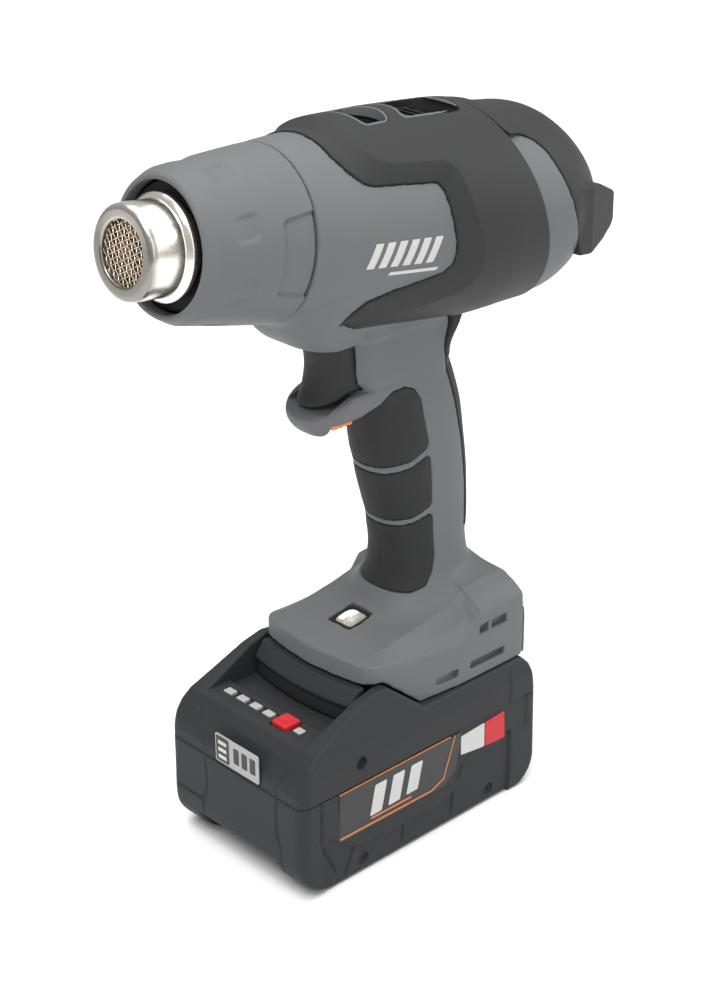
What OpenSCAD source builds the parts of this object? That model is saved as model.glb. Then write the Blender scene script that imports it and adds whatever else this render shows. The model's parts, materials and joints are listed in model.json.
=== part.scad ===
// Cordless pistol heat gun on a slide-on battery pack.
// +Z is up, the nozzle points towards -Y and +X is the user's left-hand side.
// The origin is the centre of the battery's underside, which the tool stands on.

/* [Barrel] */
// Tilt of the barrel, nozzle end up
barrel_tilt = 6.5; // [6:0.25:7]
// Distance from the battery's centre forward to the nozzle's front edge
nozzle_ahead = 106.5; // [105.5:0.5:107.5]
// Height of the nozzle's centre
nozzle_z = 268; // [267:0.5:269]
// Outer radius of the steel nozzle
nozzle_r = 17; // [16.8:0.1:17.1]
// Radius of the nozzle's mouth
mouth_r = 11.4; // [10.8:0.2:12]
// Wall of the moulded housing
wall = 2.4; // [2:0.1:2.5]

/* [Handle] */
// Depth of the recess that the soft grip fills
grip_depth = 1.2; // [0.8:0.1:1.4]
// Half width of the body beside the trigger
pillar_a = 14.5; // [14:0.25:15]

/* [Battery] */
// Width of the pack
batt_w = 81; // [80:0.5:82]
// Length of the pack
batt_l = 134; // [133:0.5:135]
// Height of the joint between the two shells
batt_split = 44; // [43:0.5:45]
// Radius of one cell
cell_r = 9.1; // [9:0.05:9.2]
// Length of one cell
cell_l = 65; // [64:0.5:66]

/* [Moving parts] */
// Gap between parts that slide past each other
gap = 0.35; // [0.3:0.05:0.4]
// Radius of the motor shaft
shaft_r = 1.6; // [1.5:0.05:1.65]
// Blades on the fan
fan_blades = 9; // [7:1:11]

/* [Hidden] */
$fn = 64;
far = 200;                      // longer than anything that it cuts
sleeve_end = 60.2;              // distances along the barrel are from the nozzle's front edge
ring_steps = 5;                 // points on each rounded corner of a loft
back_y = batt_l / 2;
rail_top = 73;                  // top of the battery's rail
foot_z = 62.6;                  // underside of the foot
side_x = batt_w / 2;            // outside of the battery's lower shell

// Half width, half depth and centre of the handle at each height, from the foot up
handle_rows = [
    [88, 30, 33, 34.4], [94, 24.5, 28.4, 34.2], [99, 20, 24, 34.4], [105, 17.4, 21.6, 34.4],
        [114, 16.2, 20.8, 34.2],
    [124, 16, 21.8, 33.8], [134, 16.2, 22.8, 32.6], [146, 16.5, 24.2, 30.6], [160, 16.6, 25, 28],
    [174, 16.2, 25.2, 25.8], [186, 15.4, 25, 22.6], [198, 14.8, 24.8, 18.8], [210, 15, 25.5, 17.6],
        [222, 17, 33, 25]
];

// ---- Frames and generic shapes ----

// Children see z along the barrel from the nozzle's front edge back, x across and -y up
module along_barrel(s = 0) {
    translate([0, -nozzle_ahead, nozzle_z]) rotate([-90 - barrel_tilt, 0, 0]) translate([0, 0,
        s]) children();
}

// Children in polar form round the barrel: 0 is the left-hand side, 90 is the top
module around_barrel(angle, s = 0) {
    along_barrel(s) rotate([0, 0, -angle]) children();
}

// A solid of revolution on the barrel from [radius, distance] points
module barrel_turn(points) {
    along_barrel() rotate_extrude($fn = 96) polygon(points);
}

// A side view given as [y, z] points, from x = lo to x = hi
module side_plate(points, lo, hi) {
    translate([lo, 0, 0]) rotate([90, 0, 90]) linear_extrude(hi - lo) polygon(points);
}

function rounded_ring(z, a, lo, hi, r) = [
    for (q = [0:3], i = [0:ring_steps])
        let (t = 90 * q + 90 * i / ring_steps, sx = (q == 0 || q == 3) ? 1 : -1, sy = q < 2 ? 1 : -1)
        [sx * (a - r) + r * cos(t), (sy > 0 ? hi - r : lo + r) + r * sin(t), z]
];

function super_ring(z, a, b, cy, power = 2.4, n = 32) = [
    for (i = [0:n - 1])
        let (t = 360 * i / n, c = cos(t), s = sin(t))
        [a * sign(c) * pow(abs(c), 2 / power), cy + b * sign(s) * pow(abs(s), 2 / power), z]
];

// A closed skin through a stack of rings, lowest first
module loft(rings) {
    n = len(rings[0]);
    m = len(rings);
    sides = [
        for (j = [0:m - 2], i = [0:n - 1])
            let (k = (i + 1) % n, a = j * n + i, b = j * n + k, c = a + n, d = b + n)
            each [[a, c, d], [a, d, b]]
    ];
    bottom = [for (i = [0:n - 1]) i];
    top = [for (i = [n - 1:-1:0]) (m - 1) * n + i];
    polyhedron([for (r = rings) each r], concat([bottom], sides, [top]));
}

// A rounded bar along Z from lo to hi
module rounded_block(a, y0, y1, lo, hi, r) {
    translate([0, 0, lo]) linear_extrude(hi - lo) hull() {
        for (x = [-a + r, a - r], y = [y0 + r, y1 - r]) translate([x, y]) circle(r, $fn = 32);
    }
}

function wire_ring(i, radius, wire, pitch, steps) =
    let (t = 360 * i / steps, z = pitch * i / steps)
    [for (k = [0:5]) let (w = 60 * k) [
        (radius + wire * cos(w)) * cos(t), (radius + wire * cos(w)) * sin(t), z + wire * sin(w)
    ]];

// A coil spring along +Z, between its two end faces
module coil(radius, wire, length, turns) {
    steps = 12;
    pitch = (length - 2 * wire) / turns;
    rings = [for (i = [steps * turns:-1:0]) wire_ring(i, radius, wire, pitch, steps)];
    translate([0, 0, wire]) loft(rings);
}

module left_half() {
    intersection() {
        children();
        translate([0.05, -far, -50]) cube([far, 2 * far, 2 * far]);
    }
}

module right_half() {
    intersection() {
        children();
        translate([-0.05 - far, -far, -50]) cube([far, 2 * far, 2 * far]);
    }
}

// ---- Outer forms ----

cover_edge = [[33.4, 74], [34.6, 80.5], [38.8, 87], [39.7, 92], [40.3, 104], [41.3, 120], [41.9, 140],
    [42, 152], [41.2, 160], [41, 190]];
housing_edge = [[32.4, 60.8], [33.3, 67], [34.2, 76], [36, 100], [37.2, 120], [38.2, 145], [38.3, 165],
    [38.2, 180], [37.4, 190], [35, 198], [33, 203]];
cap_edge = [[41, 140], [41, 160], [39.4, 166], [38.6, 174], [38.4, 186], [36.2, 195], [31.4, 204.5],
    [26.2, 212.5], [21, 219.5], [15.5, 226], [9, 231], [0, 234]];

module barrel_solid(edge, inset = 0) {
    last = edge[len(edge) - 1];
    pts = concat([[0, edge[0][1]]], [for (p = edge) [max(p[0] - inset, 0), p[1]]], [[0, last[1]]]);
    barrel_turn(last[0] == 0 ? [for (i = [0:len(pts) - 2]) pts[i]] : pts);
}

module handle_skin(d = 0, rows = handle_rows) {
    loft([for (r = rows) super_ring(r[0], r[1] - d, r[2] - d, r[3])]);
}

// Body between the handle and the barrel, with the trigger's pocket left to be cut
module saddle(d = 0) {
    loft([
        rounded_ring(212.8, pillar_a - d, -27.4 + d, 42.5 - d, 9),
        rounded_ring(217.5, pillar_a + 1 - d, -37.2 + d, 46.5 - d, 10),
        rounded_ring(223, 18.5 - d, -42.4 + d, 53 - d, 12),
        rounded_ring(230, 23 - d, -45 + d, 60 - d, 14),
        rounded_ring(238, 27.5 - d, -47 + d, 62 - d, 14)
    ]);
}

module pillar(d = 0) {
    loft([
        rounded_ring(184, pillar_a - d, -7 + d, 42 - d, 8),
        rounded_ring(196, pillar_a - d, -11 + d, 41.5 - d, 8),
        rounded_ring(214, pillar_a - d, -13.5 + d, 43 - d, 9)
    ]);
}

// The guard under the trigger: its nose droops and its underside rises towards the handle
module chin(d = 0) {
    intersection() {
        side_plate([[-40, 184.4], [-30, 186], [-22, 189.4], [-13, 192.3], [20, 192.3], [20, 181.4],
            [-8, 181.4],
            [-14, 179.4], [-19, 177.2], [-24, 176], [-40, 176]], -20, 20);
        loft([
            rounded_ring(174.6, 6 - d / 2, -18 + d, 12, 5),
            rounded_ring(177, 10.4 - d, -24.8 + d, 13, 9),
            rounded_ring(180.6, 13 - d, -28.4 + d, 14, 11),
            rounded_ring(185, 14.2 - d, -29.6 + d, 15, 12),
            rounded_ring(190.3, 14.4 - d, -27.6 + d, 16, 12),
            rounded_ring(193, 13.8 - d, -25 + d, 16, 11.5)
        ]);
    }
}

foot_plan = [[0, -27], [14, -25.9], [26.5, -23.6], [29.6, -21], [31.7, -17], [34.4, 0], [36.2, 17],
    [36.8, 30],
    [36.8, 56.5], [34.5, 61.4], [0, 63]];
foot_side = [[-30, 77.8], [-30, 84.2], [-25.5, 87], [30.5, 94], [35.5, 101.5], [57, 101.5], [59.5, 98],
    [61.5, 85], [63.6, foot_z],
    [2, foot_z], [-16, 77.8]];
foot_front = [[-37, 50], [-37, 81.5], [-33, 86.6], [-24, 93.2], [0, 96], [24, 93.2], [33, 86.6],
    [37, 81.5], [37, 50]];
foot_rear = [[-37, 50], [-37, 91.5], [-33.5, 96], [0, 101.6], [33.5, 96], [37, 91.5], [37, 50]];

function mirrored(points) = concat(points, [for (i = [len(points) - 1:-1:0]) if (points[i][0] > 0)
    [-points[i][0], points[i][1]]]);

// The foot: a plan, a side view and two front views that cut its crown
module foot_solid() {
    intersection() {
        translate([0, 0, 50]) linear_extrude(60) polygon(mirrored(foot_plan));
        side_plate(foot_side, -40, 40);
        union() {
            translate([0, 5, 0]) rotate([96, 0, 0]) translate([0, 0,
                -60]) linear_extrude(120) polygon(foot_front);
            translate([0, 80, 0]) rotate([90, 0, 0]) linear_extrude(46.5) polygon(foot_rear);
        }
    }
}

// Side views of the three soft pads, from the top one down
grip_pads = [
    [[-20, 175.5], [-3, 176.8], [4, 182.5], [8.2, 187.5], [13, 189.6], [17.6, 188], [20.4, 183.5],
        [22.6, 172],
        [24.6, 162.3], [16, 157.4], [8, 155.2], [-10, 155]],
    [[-20, 152], [8, 152.2], [16.4, 154.2], [24.8, 158.8], [27, 135.6], [18.8, 131.6], [10, 130],
        [-10, 130]],
    [[-20, 127], [11, 127.2], [19, 128.6], [27.2, 132.4], [28.6, 112], [26.4, 103.2], [22.4, 98.4],
        [16, 96.6],
        [8, 97.4], [0, 99.5], [-20, 102]]
];

module grip_zone() {
    for (pad = grip_pads) side_plate(pad, -40, 40);
}

module strip_zone() {
    side_plate([[41.5, 207], [40.8, 198.8], [44.6, 181.3], [48.4, 161.7], [50.6, 143.1], [51.8, 116],
        [75, 116],
        [75, 207]], -9.5, 9.5);
}

// Side view of the grey window in the cover
window_side = [[-60, 284], [-22.5, 283.4], [-18.5, 281.4], [8.5, 276.2], [11, 273.6], [12.8, 268.5],
    [13.8, 261],
    [14.2, 252], [13.8, 245.2], [11.5, 242.4], [-8, 238.6], [-19, 235.4], [-29, 226.5], [-30, 200],
        [-60, 200]];
// Side view of the body below the cover's lower edge
below_cover = [[-60, 226.6], [-19.5, 226.6], [30.5, 217.4], [33, 216.2], [41.5, 207], [41.5, 150],
    [-60, 150]];
// Side view of everything that belongs to the rear cap
cap_side = [[50.6, 302], [55.7, 281.6], [63.6, 280.4], [69.2, 277.6], [73, 273.4], [77.2, 262],
    [90, 224], [97, 203],
    [150, 203], [150, 302]];
cover_side = [[-28, 302], [-22.6, 282], [-22.6, 200], [76.2, 200], [49.2, 304]];

// The air intake's opening in the top of the cover and of the housing under it
module vent_hole() {
    along_barrel(97) translate([-12.8, -60, 0]) cube([25.6, 38, 52]);
}

// ---- Housing ----

module housing_outer() {
    difference() {
        union() {
            barrel_solid(housing_edge);
            saddle();
            pillar();
            chin();
            handle_skin();
            foot_solid();
        }
        difference() {
            grip_zone();
            handle_skin(grip_depth);
            pillar(grip_depth);
        }
        difference() {
            strip_zone();
            handle_skin(grip_depth);
        }
        difference() {
            side_plate(cap_side, -60, 60);
            barrel_solid([[35.6, 100], [35.6, 188]]);
        }
        console_block();
    }
}

module housing_inner() {
    barrel_solid([[30.9, 64], [30.9, 67], [31.8, 76], [33.4, 100], [33.6, 188], [33.6, 196]]);
    barrel_turn([[0, 0], [26, 0], [26, 70], [0, 70]]);
    difference() {
        union() {
            saddle(wall + 0.6);
            handle_skin(wall + grip_depth, [for (r = handle_rows) if (r[0] > 95) r]);
            translate([0, 0, -1]) loft([
                rounded_ring(191, pillar_a - 2.6, -1, 44, 6), rounded_ring(217, pillar_a - 2.6, 0, 46, 6)
            ]);
        }
        translate([-far, -far, 0]) cube([2 * far, 2 * far, 96]);
    }
    // Room in the foot for the battery's rail and the terminals
    rail_room();
    rounded_block(25.5, -2, 57, 74, 84, 4);
    translate([0, 36, 80]) cylinder(r = 13, h = 20);
}

// The channel that the battery's rail slides in, open at the front and below
module rail_room() {
    side_plate([[-40, foot_z - 5], [-40, 77], [-8, 77], [-8, 75.5], [58, 75.5],
        [58, foot_z - 5]], -22.2, 22.2);
    side_plate([[-40, 67.6], [-40, 77], [-8, 77], [-8, 75.5], [58, 75.5], [58, 67.6]], -25.4, 25.4);
}

module foot_slots() {
    for (side = [-1, 1]) {
        for (s = [[10.5, 21.5, 66.3, 69.7], [28.5, 48, 67.2, 70.6], [34, 39, 81.3, 85.6],
            [41, 50, 81.3, 85.6]])
            translate([side * 36 - 1.6, s[0], s[2]]) cube([3.2, s[1] - s[0], s[3] - s[2]]);
    }
}

module trigger_room() {
    translate([-trigger_a - gap, -60, 192.6]) cube([2 * (trigger_a + gap), 60 + 13.5, 20.2]);
    translate([-8.4, 10, 187]) cube([16.8, 30, 28]);
}

module lock_room() {
    translate([-3.5 - gap, -20, 160]) cube([7 + 2 * gap, 15.8, 19.7]);
    translate([-2 - gap, -16.4, 178]) cube([4 + 2 * gap, 10.4, 8]);
}

module housing() {
    color("dimgray") difference() {
        housing_outer();
        housing_inner();
        foot_slots();
        trigger_room();
        lock_room();
        vent_hole();
        worklight_room();
        screw_holes();
    }
    color("dimgray") barrel_turn([[26, 48], [28.2, 48], [28.2, 60.8], [31, 60.8], [31, 66], [26, 66]]);
}

module housing_left() left_half() housing();

module housing_right() right_half() housing();

// ---- Covers, grips and rear ----

module cover() {
    color([0.23, 0.23, 0.24]) difference() {
        intersection() {
            barrel_solid(cover_edge);
            side_plate(cover_side, -60, 60);
        }
        barrel_solid([for (p = housing_edge) [p[0] + 0.1, p[1] - 0.1]]);
        side_plate(window_side, -60, 60);
        side_plate(below_cover, -60, 60);
        saddle(-0.1);
        handle_skin(-0.1);
        vent_hole();
        side_plate(cap_side, -60, 60);
    }
}

module cover_left() left_half() cover();

module cover_right() right_half() cover();

module grip() {
    color([0.18, 0.18, 0.19]) intersection() {
        difference() {
            union() {
                handle_skin();
                pillar();
            }
            handle_skin(grip_depth);
            pillar(grip_depth);
            chin(-0.2);
        }
        grip_zone();
    }
}

module grip_left() left_half() grip();

module grip_right() right_half() grip();

module handle_back_strip() {
    color([0.2, 0.2, 0.21]) intersection() {
        difference() {
            union() {
                handle_skin(-0.4);
                saddle();
            }
            handle_skin(grip_depth);
            saddle(2);
            barrel_solid(cover_edge, -0.2);
        }
        strip_zone();
    }
}

// The raised block that stands out of the back of the cap, seen from the side
console_side = [[84, 229], [97, 227.4], [108, 230], [116, 233.4], [119.8, 237.4], [120.3, 242.5],
    [118.6, 247.4],
    [104, 254.2], [84, 259]];

module console_block() {
    intersection() {
        side_plate(console_side, -36, 36);
        translate([0, 0, 200]) linear_extrude(80)
            polygon(mirrored([[0, 80], [36.5, 80], [34.5, 96], [27, 117], [24, 120.5], [0, 120.5]]));
    }
}

module rear_cap() {
    color([0.2, 0.2, 0.21]) difference() {
        union() {
            intersection() {
                barrel_solid(cap_edge);
                side_plate(cap_side, -60, 60);
            }
            console_block();
        }
        barrel_solid([[35.8, 130], [35.8, 190], [33.4, 197], [28.6, 204.5], [23.4, 211], [17, 217],
            [0, 221]]);
        panel_room();
        stage_hole();
    }
}

panel_z = 239;                  // height of the button and the lights in the rear panel
stage_r = 5.5;
light_x = [-15.5, -11.5, 11.5, 15.5];

module panel_room() {
    translate([-21, 118.6, panel_z - 5.6]) cube([42, 5, 11]);
}

module stage_hole() {
    translate([0, 110, panel_z]) rotate([-90, 0, 0]) cylinder(r = stage_r + gap, h = 20);
    translate([-20, 107.6, panel_z - 6.5]) cube([40, 7.1, 13]);
    for (x = light_x) translate([x, 110, panel_z]) rotate([-90, 0, 0]) cylinder(r = 1.5, h = 20);
}

module rear_panel() {
    color([0.1, 0.1, 0.1]) difference() {
        translate([-20.8, 118.7, panel_z - 5.4]) cube([41.6, 1.2, 10.6]);
        translate([0, 110, panel_z]) rotate([-90, 0, 0]) cylinder(r = stage_r + gap, h = 20);
        for (x = light_x) translate([x, 110, panel_z]) rotate([-90, 0, 0]) cylinder(r = 1.5, h = 20);
    }
}

module status_lights() {
    color("gold") for (x = light_x) translate([x, 109, panel_z]) rotate([-90, 0, 0]) cylinder(r = 1.4,
        h = 11);
}

module panel_board() {
    color("darkgreen") translate([-19.5, 107.7, panel_z - 6]) cube([39, 1.2, 12]);
}

module stage_button() {
    color("darkorange") translate([0, 113.2, panel_z]) rotate([-90, 0, 0]) {
        cylinder(r = stage_r, h = 7.4);
        cylinder(r = 6.2, h = 1.2);
    }
}

module stage_spring() {
    color("silver") translate([0, 109, panel_z]) rotate([-90, 0, 0]) coil(3.4, 0.35, 4.1, 3);
}

module intake_grille() {
    color("gray") {
        for (s = [101, 104.8, 118, 122.6, 127.2, 131.8, 136.4, 141])
            along_barrel(s) translate([-11.8, -37]) rotate([-25, 0, 0]) cube([23.6, 5, 1.1]);
        along_barrel() for (x = [-12.6, 11.6]) translate([x, -37, 97.2]) cube([1, 7, 51.6]);
        along_barrel() translate([-12.6, -38.6, 110.4]) cube([25.2, 7, 3.6]);
    }
}

// ---- Nozzle and heater ----

module nozzle_tube() {
    color("silver") barrel_turn([
        [mouth_r, 1], [mouth_r + 0.3, 0.25], [mouth_r + 0.9, 0], [nozzle_r - 2.2, 0], [nozzle_r - 1, 0.4],
        [nozzle_r - 0.3, 1.2], [nozzle_r, 2.4], [nozzle_r, 14.4], [nozzle_r + 1.1, 15],
        [nozzle_r + 2.2, 16], [nozzle_r + 2.4, 17.2], [nozzle_r + 2, 18.4], [nozzle_r + 0.8, 19.2],
        [nozzle_r, 19.6], [nozzle_r, 60.4], [21, 60.4], [21, 61.6],
        [nozzle_r - 1, 61.6], [nozzle_r - 1, 2.9], [nozzle_r - 1.8, 1.5], [nozzle_r - 2.7, 1.1],
            [mouth_r + 0.6, 1.1]
    ]);
}

module nozzle_mesh() {
    pitch = 2.4;
    color("gray") along_barrel(1.6) linear_extrude(0.7) difference() {
        circle(nozzle_r - 1.9);
        for (i = [-5:5], j = [-5:5]) if (norm([i, j]) < 5.4)
            rotate(20) translate([i * pitch - 0.85, j * pitch - 0.85]) square(1.7);
    }
}

module heat_shield() {
    color([0.12, 0.12, 0.13]) barrel_turn([
        [17.3, 21], [22.6, 21], [22.6, 60], [24.6, 60], [24.6, 62], [21.6, 62], [21.6, 22.6], [17.3, 22.6]
    ]);
}

module heater_core() {
    color("tan") along_barrel(5) difference() {
        cylinder(r = 13.4, h = 55);
        cylinder(r = 1.5, h = 200, center = true);
        for (n = [0:5]) rotate(60 * n) translate([5.2, 0, 0]) cylinder(r = 1.8, h = 200, center = true);
        for (n = [0:10]) rotate(360 * n / 11) translate([10.2, 0, 0]) cylinder(r = 1.8, h = 200,
            center = true);
    }
}

module heater_coils() {
    color("peru") along_barrel(7) {
        for (n = [0:5]) rotate(60 * n) translate([5.2, 0, 0]) heater_coil();
        for (n = [0:10]) rotate(360 * n / 11) translate([10.2, 0, 0]) heater_coil();
    }
}

// One close-wound resistance coil in its channel
module heater_coil() {
    difference() {
        cylinder(r = 1.5, h = 50, $fn = 20);
        translate([0, 0, -1]) cylinder(r = 0.9, h = 52, $fn = 20);
    }
}

module mica_sleeve() {
    color("khaki") barrel_turn([[13.8, 3], [14.5, 3], [14.5, 61.6], [13.8, 61.6]]);
}

module heater_mount() {
    color("wheat") barrel_turn([[11, 62.4], [24.6, 62.4], [24.6, 66], [15, 66], [15, 70], [11, 70]]);
}

module thermal_cutout() {
    color("silver") around_barrel(60, 66.2) translate([19, 0, 0]) {
        cylinder(r = 3.8, h = 3.4);
        translate([0, 0, 3.4]) cylinder(r = 2.6, h = 2);
    }
}

module temperature_sensor() {
    color("silver") along_barrel(9) cylinder(r = 0.8, h = 66, $fn = 24);
    color("white") along_barrel(74) cylinder(r = 2.4, h = 6, $fn = 24);
}

// ---- Fan and motor ----

module fan_housing() {
    color("dimgray") barrel_turn([
        [22, 70.6], [24, 70.6], [24, 75], [30.6, 84], [30.6, 108], [28.8, 108], [28.8, 84.6], [22, 75.8]
    ]);
}

module fan_impeller() {
    color("gray") along_barrel(88) difference() {
        union() {
            cylinder(r = 8, h = 15);
            translate([0, 0, 13.6]) cylinder(r = 28, h = 1.4);
            for (n = [0:fan_blades - 1]) rotate(360 * n / fan_blades) translate([6, 0, 2])
                rotate(18) translate([0, -0.7, 0]) cube([20, 1.4, 12]);
        }
        translate([0, 0, -1]) cylinder(r = shaft_r, h = 20);
    }
}

module motor_shaft() {
    color("silver") along_barrel(86.5) cylinder(r = shaft_r, h = 68);
}

module motor_plate() {
    color("dimgray") along_barrel(108.4) difference() {
        cylinder(r = 31, h = 2.4);
        translate([0, 0, -1]) cylinder(r = 6.5, h = 5);
        for (n = [0:5]) rotate(60 * n + 30) translate([23.6, 0, -1]) cylinder(r = 5, h = 5);
    }
}

module motor_can() {
    color("silver") along_barrel(111.2) difference() {
        cylinder(r = 17.8, h = 44);
        translate([0, 0, 1.6]) cylinder(r = 16.6, h = 60);
        translate([0, 0, -1]) cylinder(r = shaft_r + 0.05, h = 5);
    }
}

module motor_end_cap() {
    color([0.15, 0.15, 0.15]) along_barrel(155.4) difference() {
        union() {
            cylinder(r = 17.8, h = 4);
            for (x = [-9, 9]) translate([x - 1.5, -0.4, 4]) cube([3, 0.8, 6]);
        }
        translate([0, 0, -1]) cylinder(r = shaft_r + 0.3, h = 3.4);
    }
}

module control_board() {
    color("darkgreen") along_barrel(176) difference() {
        cylinder(r = 27, h = 1.6);
        translate([-30, -34, -1]) cube([60, 16, 4]);
    }
}

module power_transistors() {
    color([0.1, 0.1, 0.1]) for (x = [-14, -2, 10])
        along_barrel(172.8) translate([x, -6, 0]) cube([8, 10, 3]);
}

// ---- Trigger and switch ----

trigger_side = [[-25.4, 193], [-24, 196], [-23, 200], [-22.6, 204], [-23, 208.6], [-23.8, 212.4],
    [5.5, 212.4],
    [5.5, 193]];
trigger_a = 10.7;               // half its width

module trigger() {
    color([0.15, 0.15, 0.16]) difference() {
        intersection() {
            side_plate(trigger_side, -trigger_a, trigger_a);
            translate([0, 0, 180]) linear_extrude(50) polygon(concat(
                [for (i = [-8:8]) let (u = i / 8) [trigger_a * u, -25.2 + 10 * pow(abs(u), 2.2)]],
                [[trigger_a, 20], [-trigger_a, 20]]
            ));
        }
        translate([0, 1.5, 203]) rotate([-90, 0, 0]) cylinder(r = 5.2, h = 20);
    }
}

module trigger_spring() {
    color("silver") translate([0, 1.8, 203]) rotate([-90, 0, 0]) coil(4, 0.45, 16.4, 7);
}

module switch_body() {
    color([0.12, 0.12, 0.12]) translate([-8, 18.6, 187.6]) cube([16, 18, 27]);
}

module lock_slider() {
    color("darkorange") {
        translate([-3.5, -15, 176]) cube([7, 10.4, 3.3]);
        translate([-2, -11.8, 179]) cube([4, 5.4, 6]);
    }
}

// ---- Foot ----

module worklight_frame() {
    translate([0, -3.2, 88.2]) rotate([8, 0, 0]) children();
}

module worklight_room() {
    worklight_frame() translate([-6.2, -6.2, -3]) cube([12.4, 12.4, 9]);
    worklight_frame() cylinder(r = 3, h = 20, center = true);
}

module worklight_lens() {
    color("white") worklight_frame() intersection() {
        translate([-5.9, -5.9, -1.2]) cube([11.8, 11.8, 5]);
        translate([0, 0, -12]) sphere(r = 14.6);
    }
}

module worklight_board() {
    color("darkgreen") worklight_frame() translate([-5.6, -5.6, -2.9]) cube([11.2, 11.2, 1.4]);
}

module terminal_block() {
    color([0.14, 0.14, 0.14]) translate([-20, 45, 64.5]) cube([40, 12.4, 10.6]);
}

module terminal_blades() {
    color("gold") for (x = [-14, -5, 5, 14]) translate([x - 0.4, 25, 66]) cube([0.8, 19.9, 5.4]);
}

screw_places = [[-36, 222], [24, 232], [30, 205], [34, 122], [47, 84]];
screw_depth = [16, 24, 13, 14, 30];

module screw_holes() {
    for (i = [0:len(screw_places) - 1])
        translate([-60, screw_places[i][0], screw_places[i][1]]) rotate([0, 90, 0])
            cylinder(r = 2.4, h = 60 - screw_depth[i]);
}

module housing_screws() {
    color("silver") for (i = [0:len(screw_places) - 1])
        translate([-screw_depth[i] - 2, screw_places[i][0], screw_places[i][1]]) rotate([0, 90, 0])
            cylinder(r = 2.3, h = 1.9);
}

// ---- Front sleeve ----

module front_sleeve() {
    outer = [for (i = [0:6]) let (u = i / 6, s = 21 + (sleeve_end - 21) * u)
        [27.6 + 4.8 * (1 - pow(1 - u, 1.15)), s]];
    color("gray") difference() {
        barrel_turn(concat(
            [[23.2, 20.6], [23.2, 17.8], [23.7, 16.4], [24.6, 16], [25.4, 16.8], [26.4, 18.8]], outer,
            [[28.6, sleeve_end], [28.6, 47.4], [27.2, 38], [25.8, 28], [24.6, 23]]
        ));
        for (a = [22:45:360]) around_barrel(a, 32) sleeve_dent(a);
        for (a = [-2, 178]) around_barrel(a, 53) translate([31, 0, 0]) rotate([0, 3.6, 0])
            translate([0, -16, -7]) cube([6, 32, 16]);
    }
}

module sleeve_dent(a) {
    translate([28.6, -3.6, -4]) rotate([0, 8, 0]) cube([4, 7.2, 8]);
}

// ---- Battery ----

module batt_lower_solid(d = 0) {
    a = side_x - d;
    loft([
        rounded_ring(d, a - 2, -51 + d, 56 - d, 4),
        rounded_ring(1.4 + d, a - 0.9, -55.6 + d, 60.4 - d, 4),
        rounded_ring(5.4 + d, a - 0.3, -61.4 + d, 64.4 - d, 4),
        rounded_ring(11 + d, a, -65.6 + d, 66.6 - d, 4),
        rounded_ring(18 + d, a, -back_y + d, back_y - d, 4),
        rounded_ring(batt_split, a - 0.3, -back_y + d, back_y - d, 4)
    ]);
}

top_z = 62.1;                   // flat top of the battery behind its cheeks
low_screws = [-33, 38.5];
upper_side = [[-back_y - 0.3, batt_split + 0.15], [-back_y, 48], [-61.4, 59], [-57, 63.4], [-46, 68.2],
    [-31, 75],
    [-21.5, 77.4], [-16, 76.6], [1.6, top_z], [58.4, top_z], [62.4, 58], [65, 52], [back_y - 0.6, 47],
    [back_y, batt_split + 0.15]];

module battery_lower_shell() {
    color([0.2, 0.21, 0.22]) difference() {
        batt_lower_solid();
        difference() {
            batt_lower_solid(2.4);
            for (x = [-1, 1], y = [-37.5, 37.5]) translate([x * 36, y, 4]) rotate([0, 90, 0])
                cylinder(r = 4, h = 8, center = true);
        }
        translate([-cell_l / 2 - 2.6, -52, 2.4]) cube([cell_l + 5.2, 104, 60]);
        for (x = [-1, 1], y = low_screws) translate([x * side_x, y, 5]) rotate([0, 90, 0])
            cylinder(r = 2.6, h = 3.4, center = true);
        for (x = [-1, 1]) translate([x * (side_x + 0.9) - 1.5, -48, 20]) cube([3, 98, 23.8]);
        // Undercut below the middle of the front
        side_plate([[-70, -1], [-70, 10.4], [-66, 10.4], [-61, 5.8], [-56, 2.4], [-49, -1]], -25, 25);
    }
}

cheek_x = 29.4;                 // inside of the cheeks

module battery_upper_shell() {
    a = side_x - 0.5;
    color([0.19, 0.2, 0.21]) difference() {
        union() {
            intersection() {
                side_plate(upper_side, -40, 40);
                loft([
                    rounded_ring(batt_split + 0.15, a + 0.2, -back_y, back_y, 4),
                    rounded_ring(54, a, -back_y, back_y, 5),
                    rounded_ring(64, a - 2, -back_y, back_y, 7),
                    rounded_ring(82, a - 5.4, -back_y + 2, back_y, 8)
                ]);
            }
            // Rail with its two lips
            translate([-21.5, -19, 60]) cube([43, 62, 9]);
            translate([-24.8, -19, 68.1]) cube([49.6, 62, rail_top - 68.1]);
        }
        // Inside
        side_plate([[-64, 40], [-64, 50], [-55, 59], [60, 59], [64, 50], [64, 40]], -a + 2.6, a - 2.6);
        // Finger recess between the cheeks
        side_plate([[-44.5, 66.5], [-47, 90], [-19, 90], [-19, 61.6], [-41, 61.6]], -cheek_x, cheek_x);
        side_plate([[-80, 63.9], [-80, 90], [-19, 90], [-19, 63.9]], -cheek_x, cheek_x);
        // Contact slots in the back of the rail
        for (x = [-14, -5, 5, 14]) translate([x - 1.6, 23, 64.4]) cube([3.2, 25, 7.6]);
        gauge_room();
        badge_room();
        for (x = [-1, 1]) translate([x * a, -33, 51]) rotate([0, 90, 0]) cylinder(r = 2.6, h = 3.4,
            center = true);
    }
}

module gauge_room() {
    translate([-26, -50.4, 62.5]) cube([47.2, 4, 3]);
    translate([6.6, -53, 58.5]) cube([9.2, 9, 10]);
}

module badge_room() {
    translate([-11, -70, 45]) cube([27, 4, 13.4]);
}

module battery_cells() {
    color("steelblue") for (i = [-2:2], z = [12.6, 31.6]) translate([-cell_l / 2, i * 19.4, z])
        rotate([0, 90, 0]) cylinder(r = cell_r, h = cell_l, $fn = 40);
}

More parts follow.
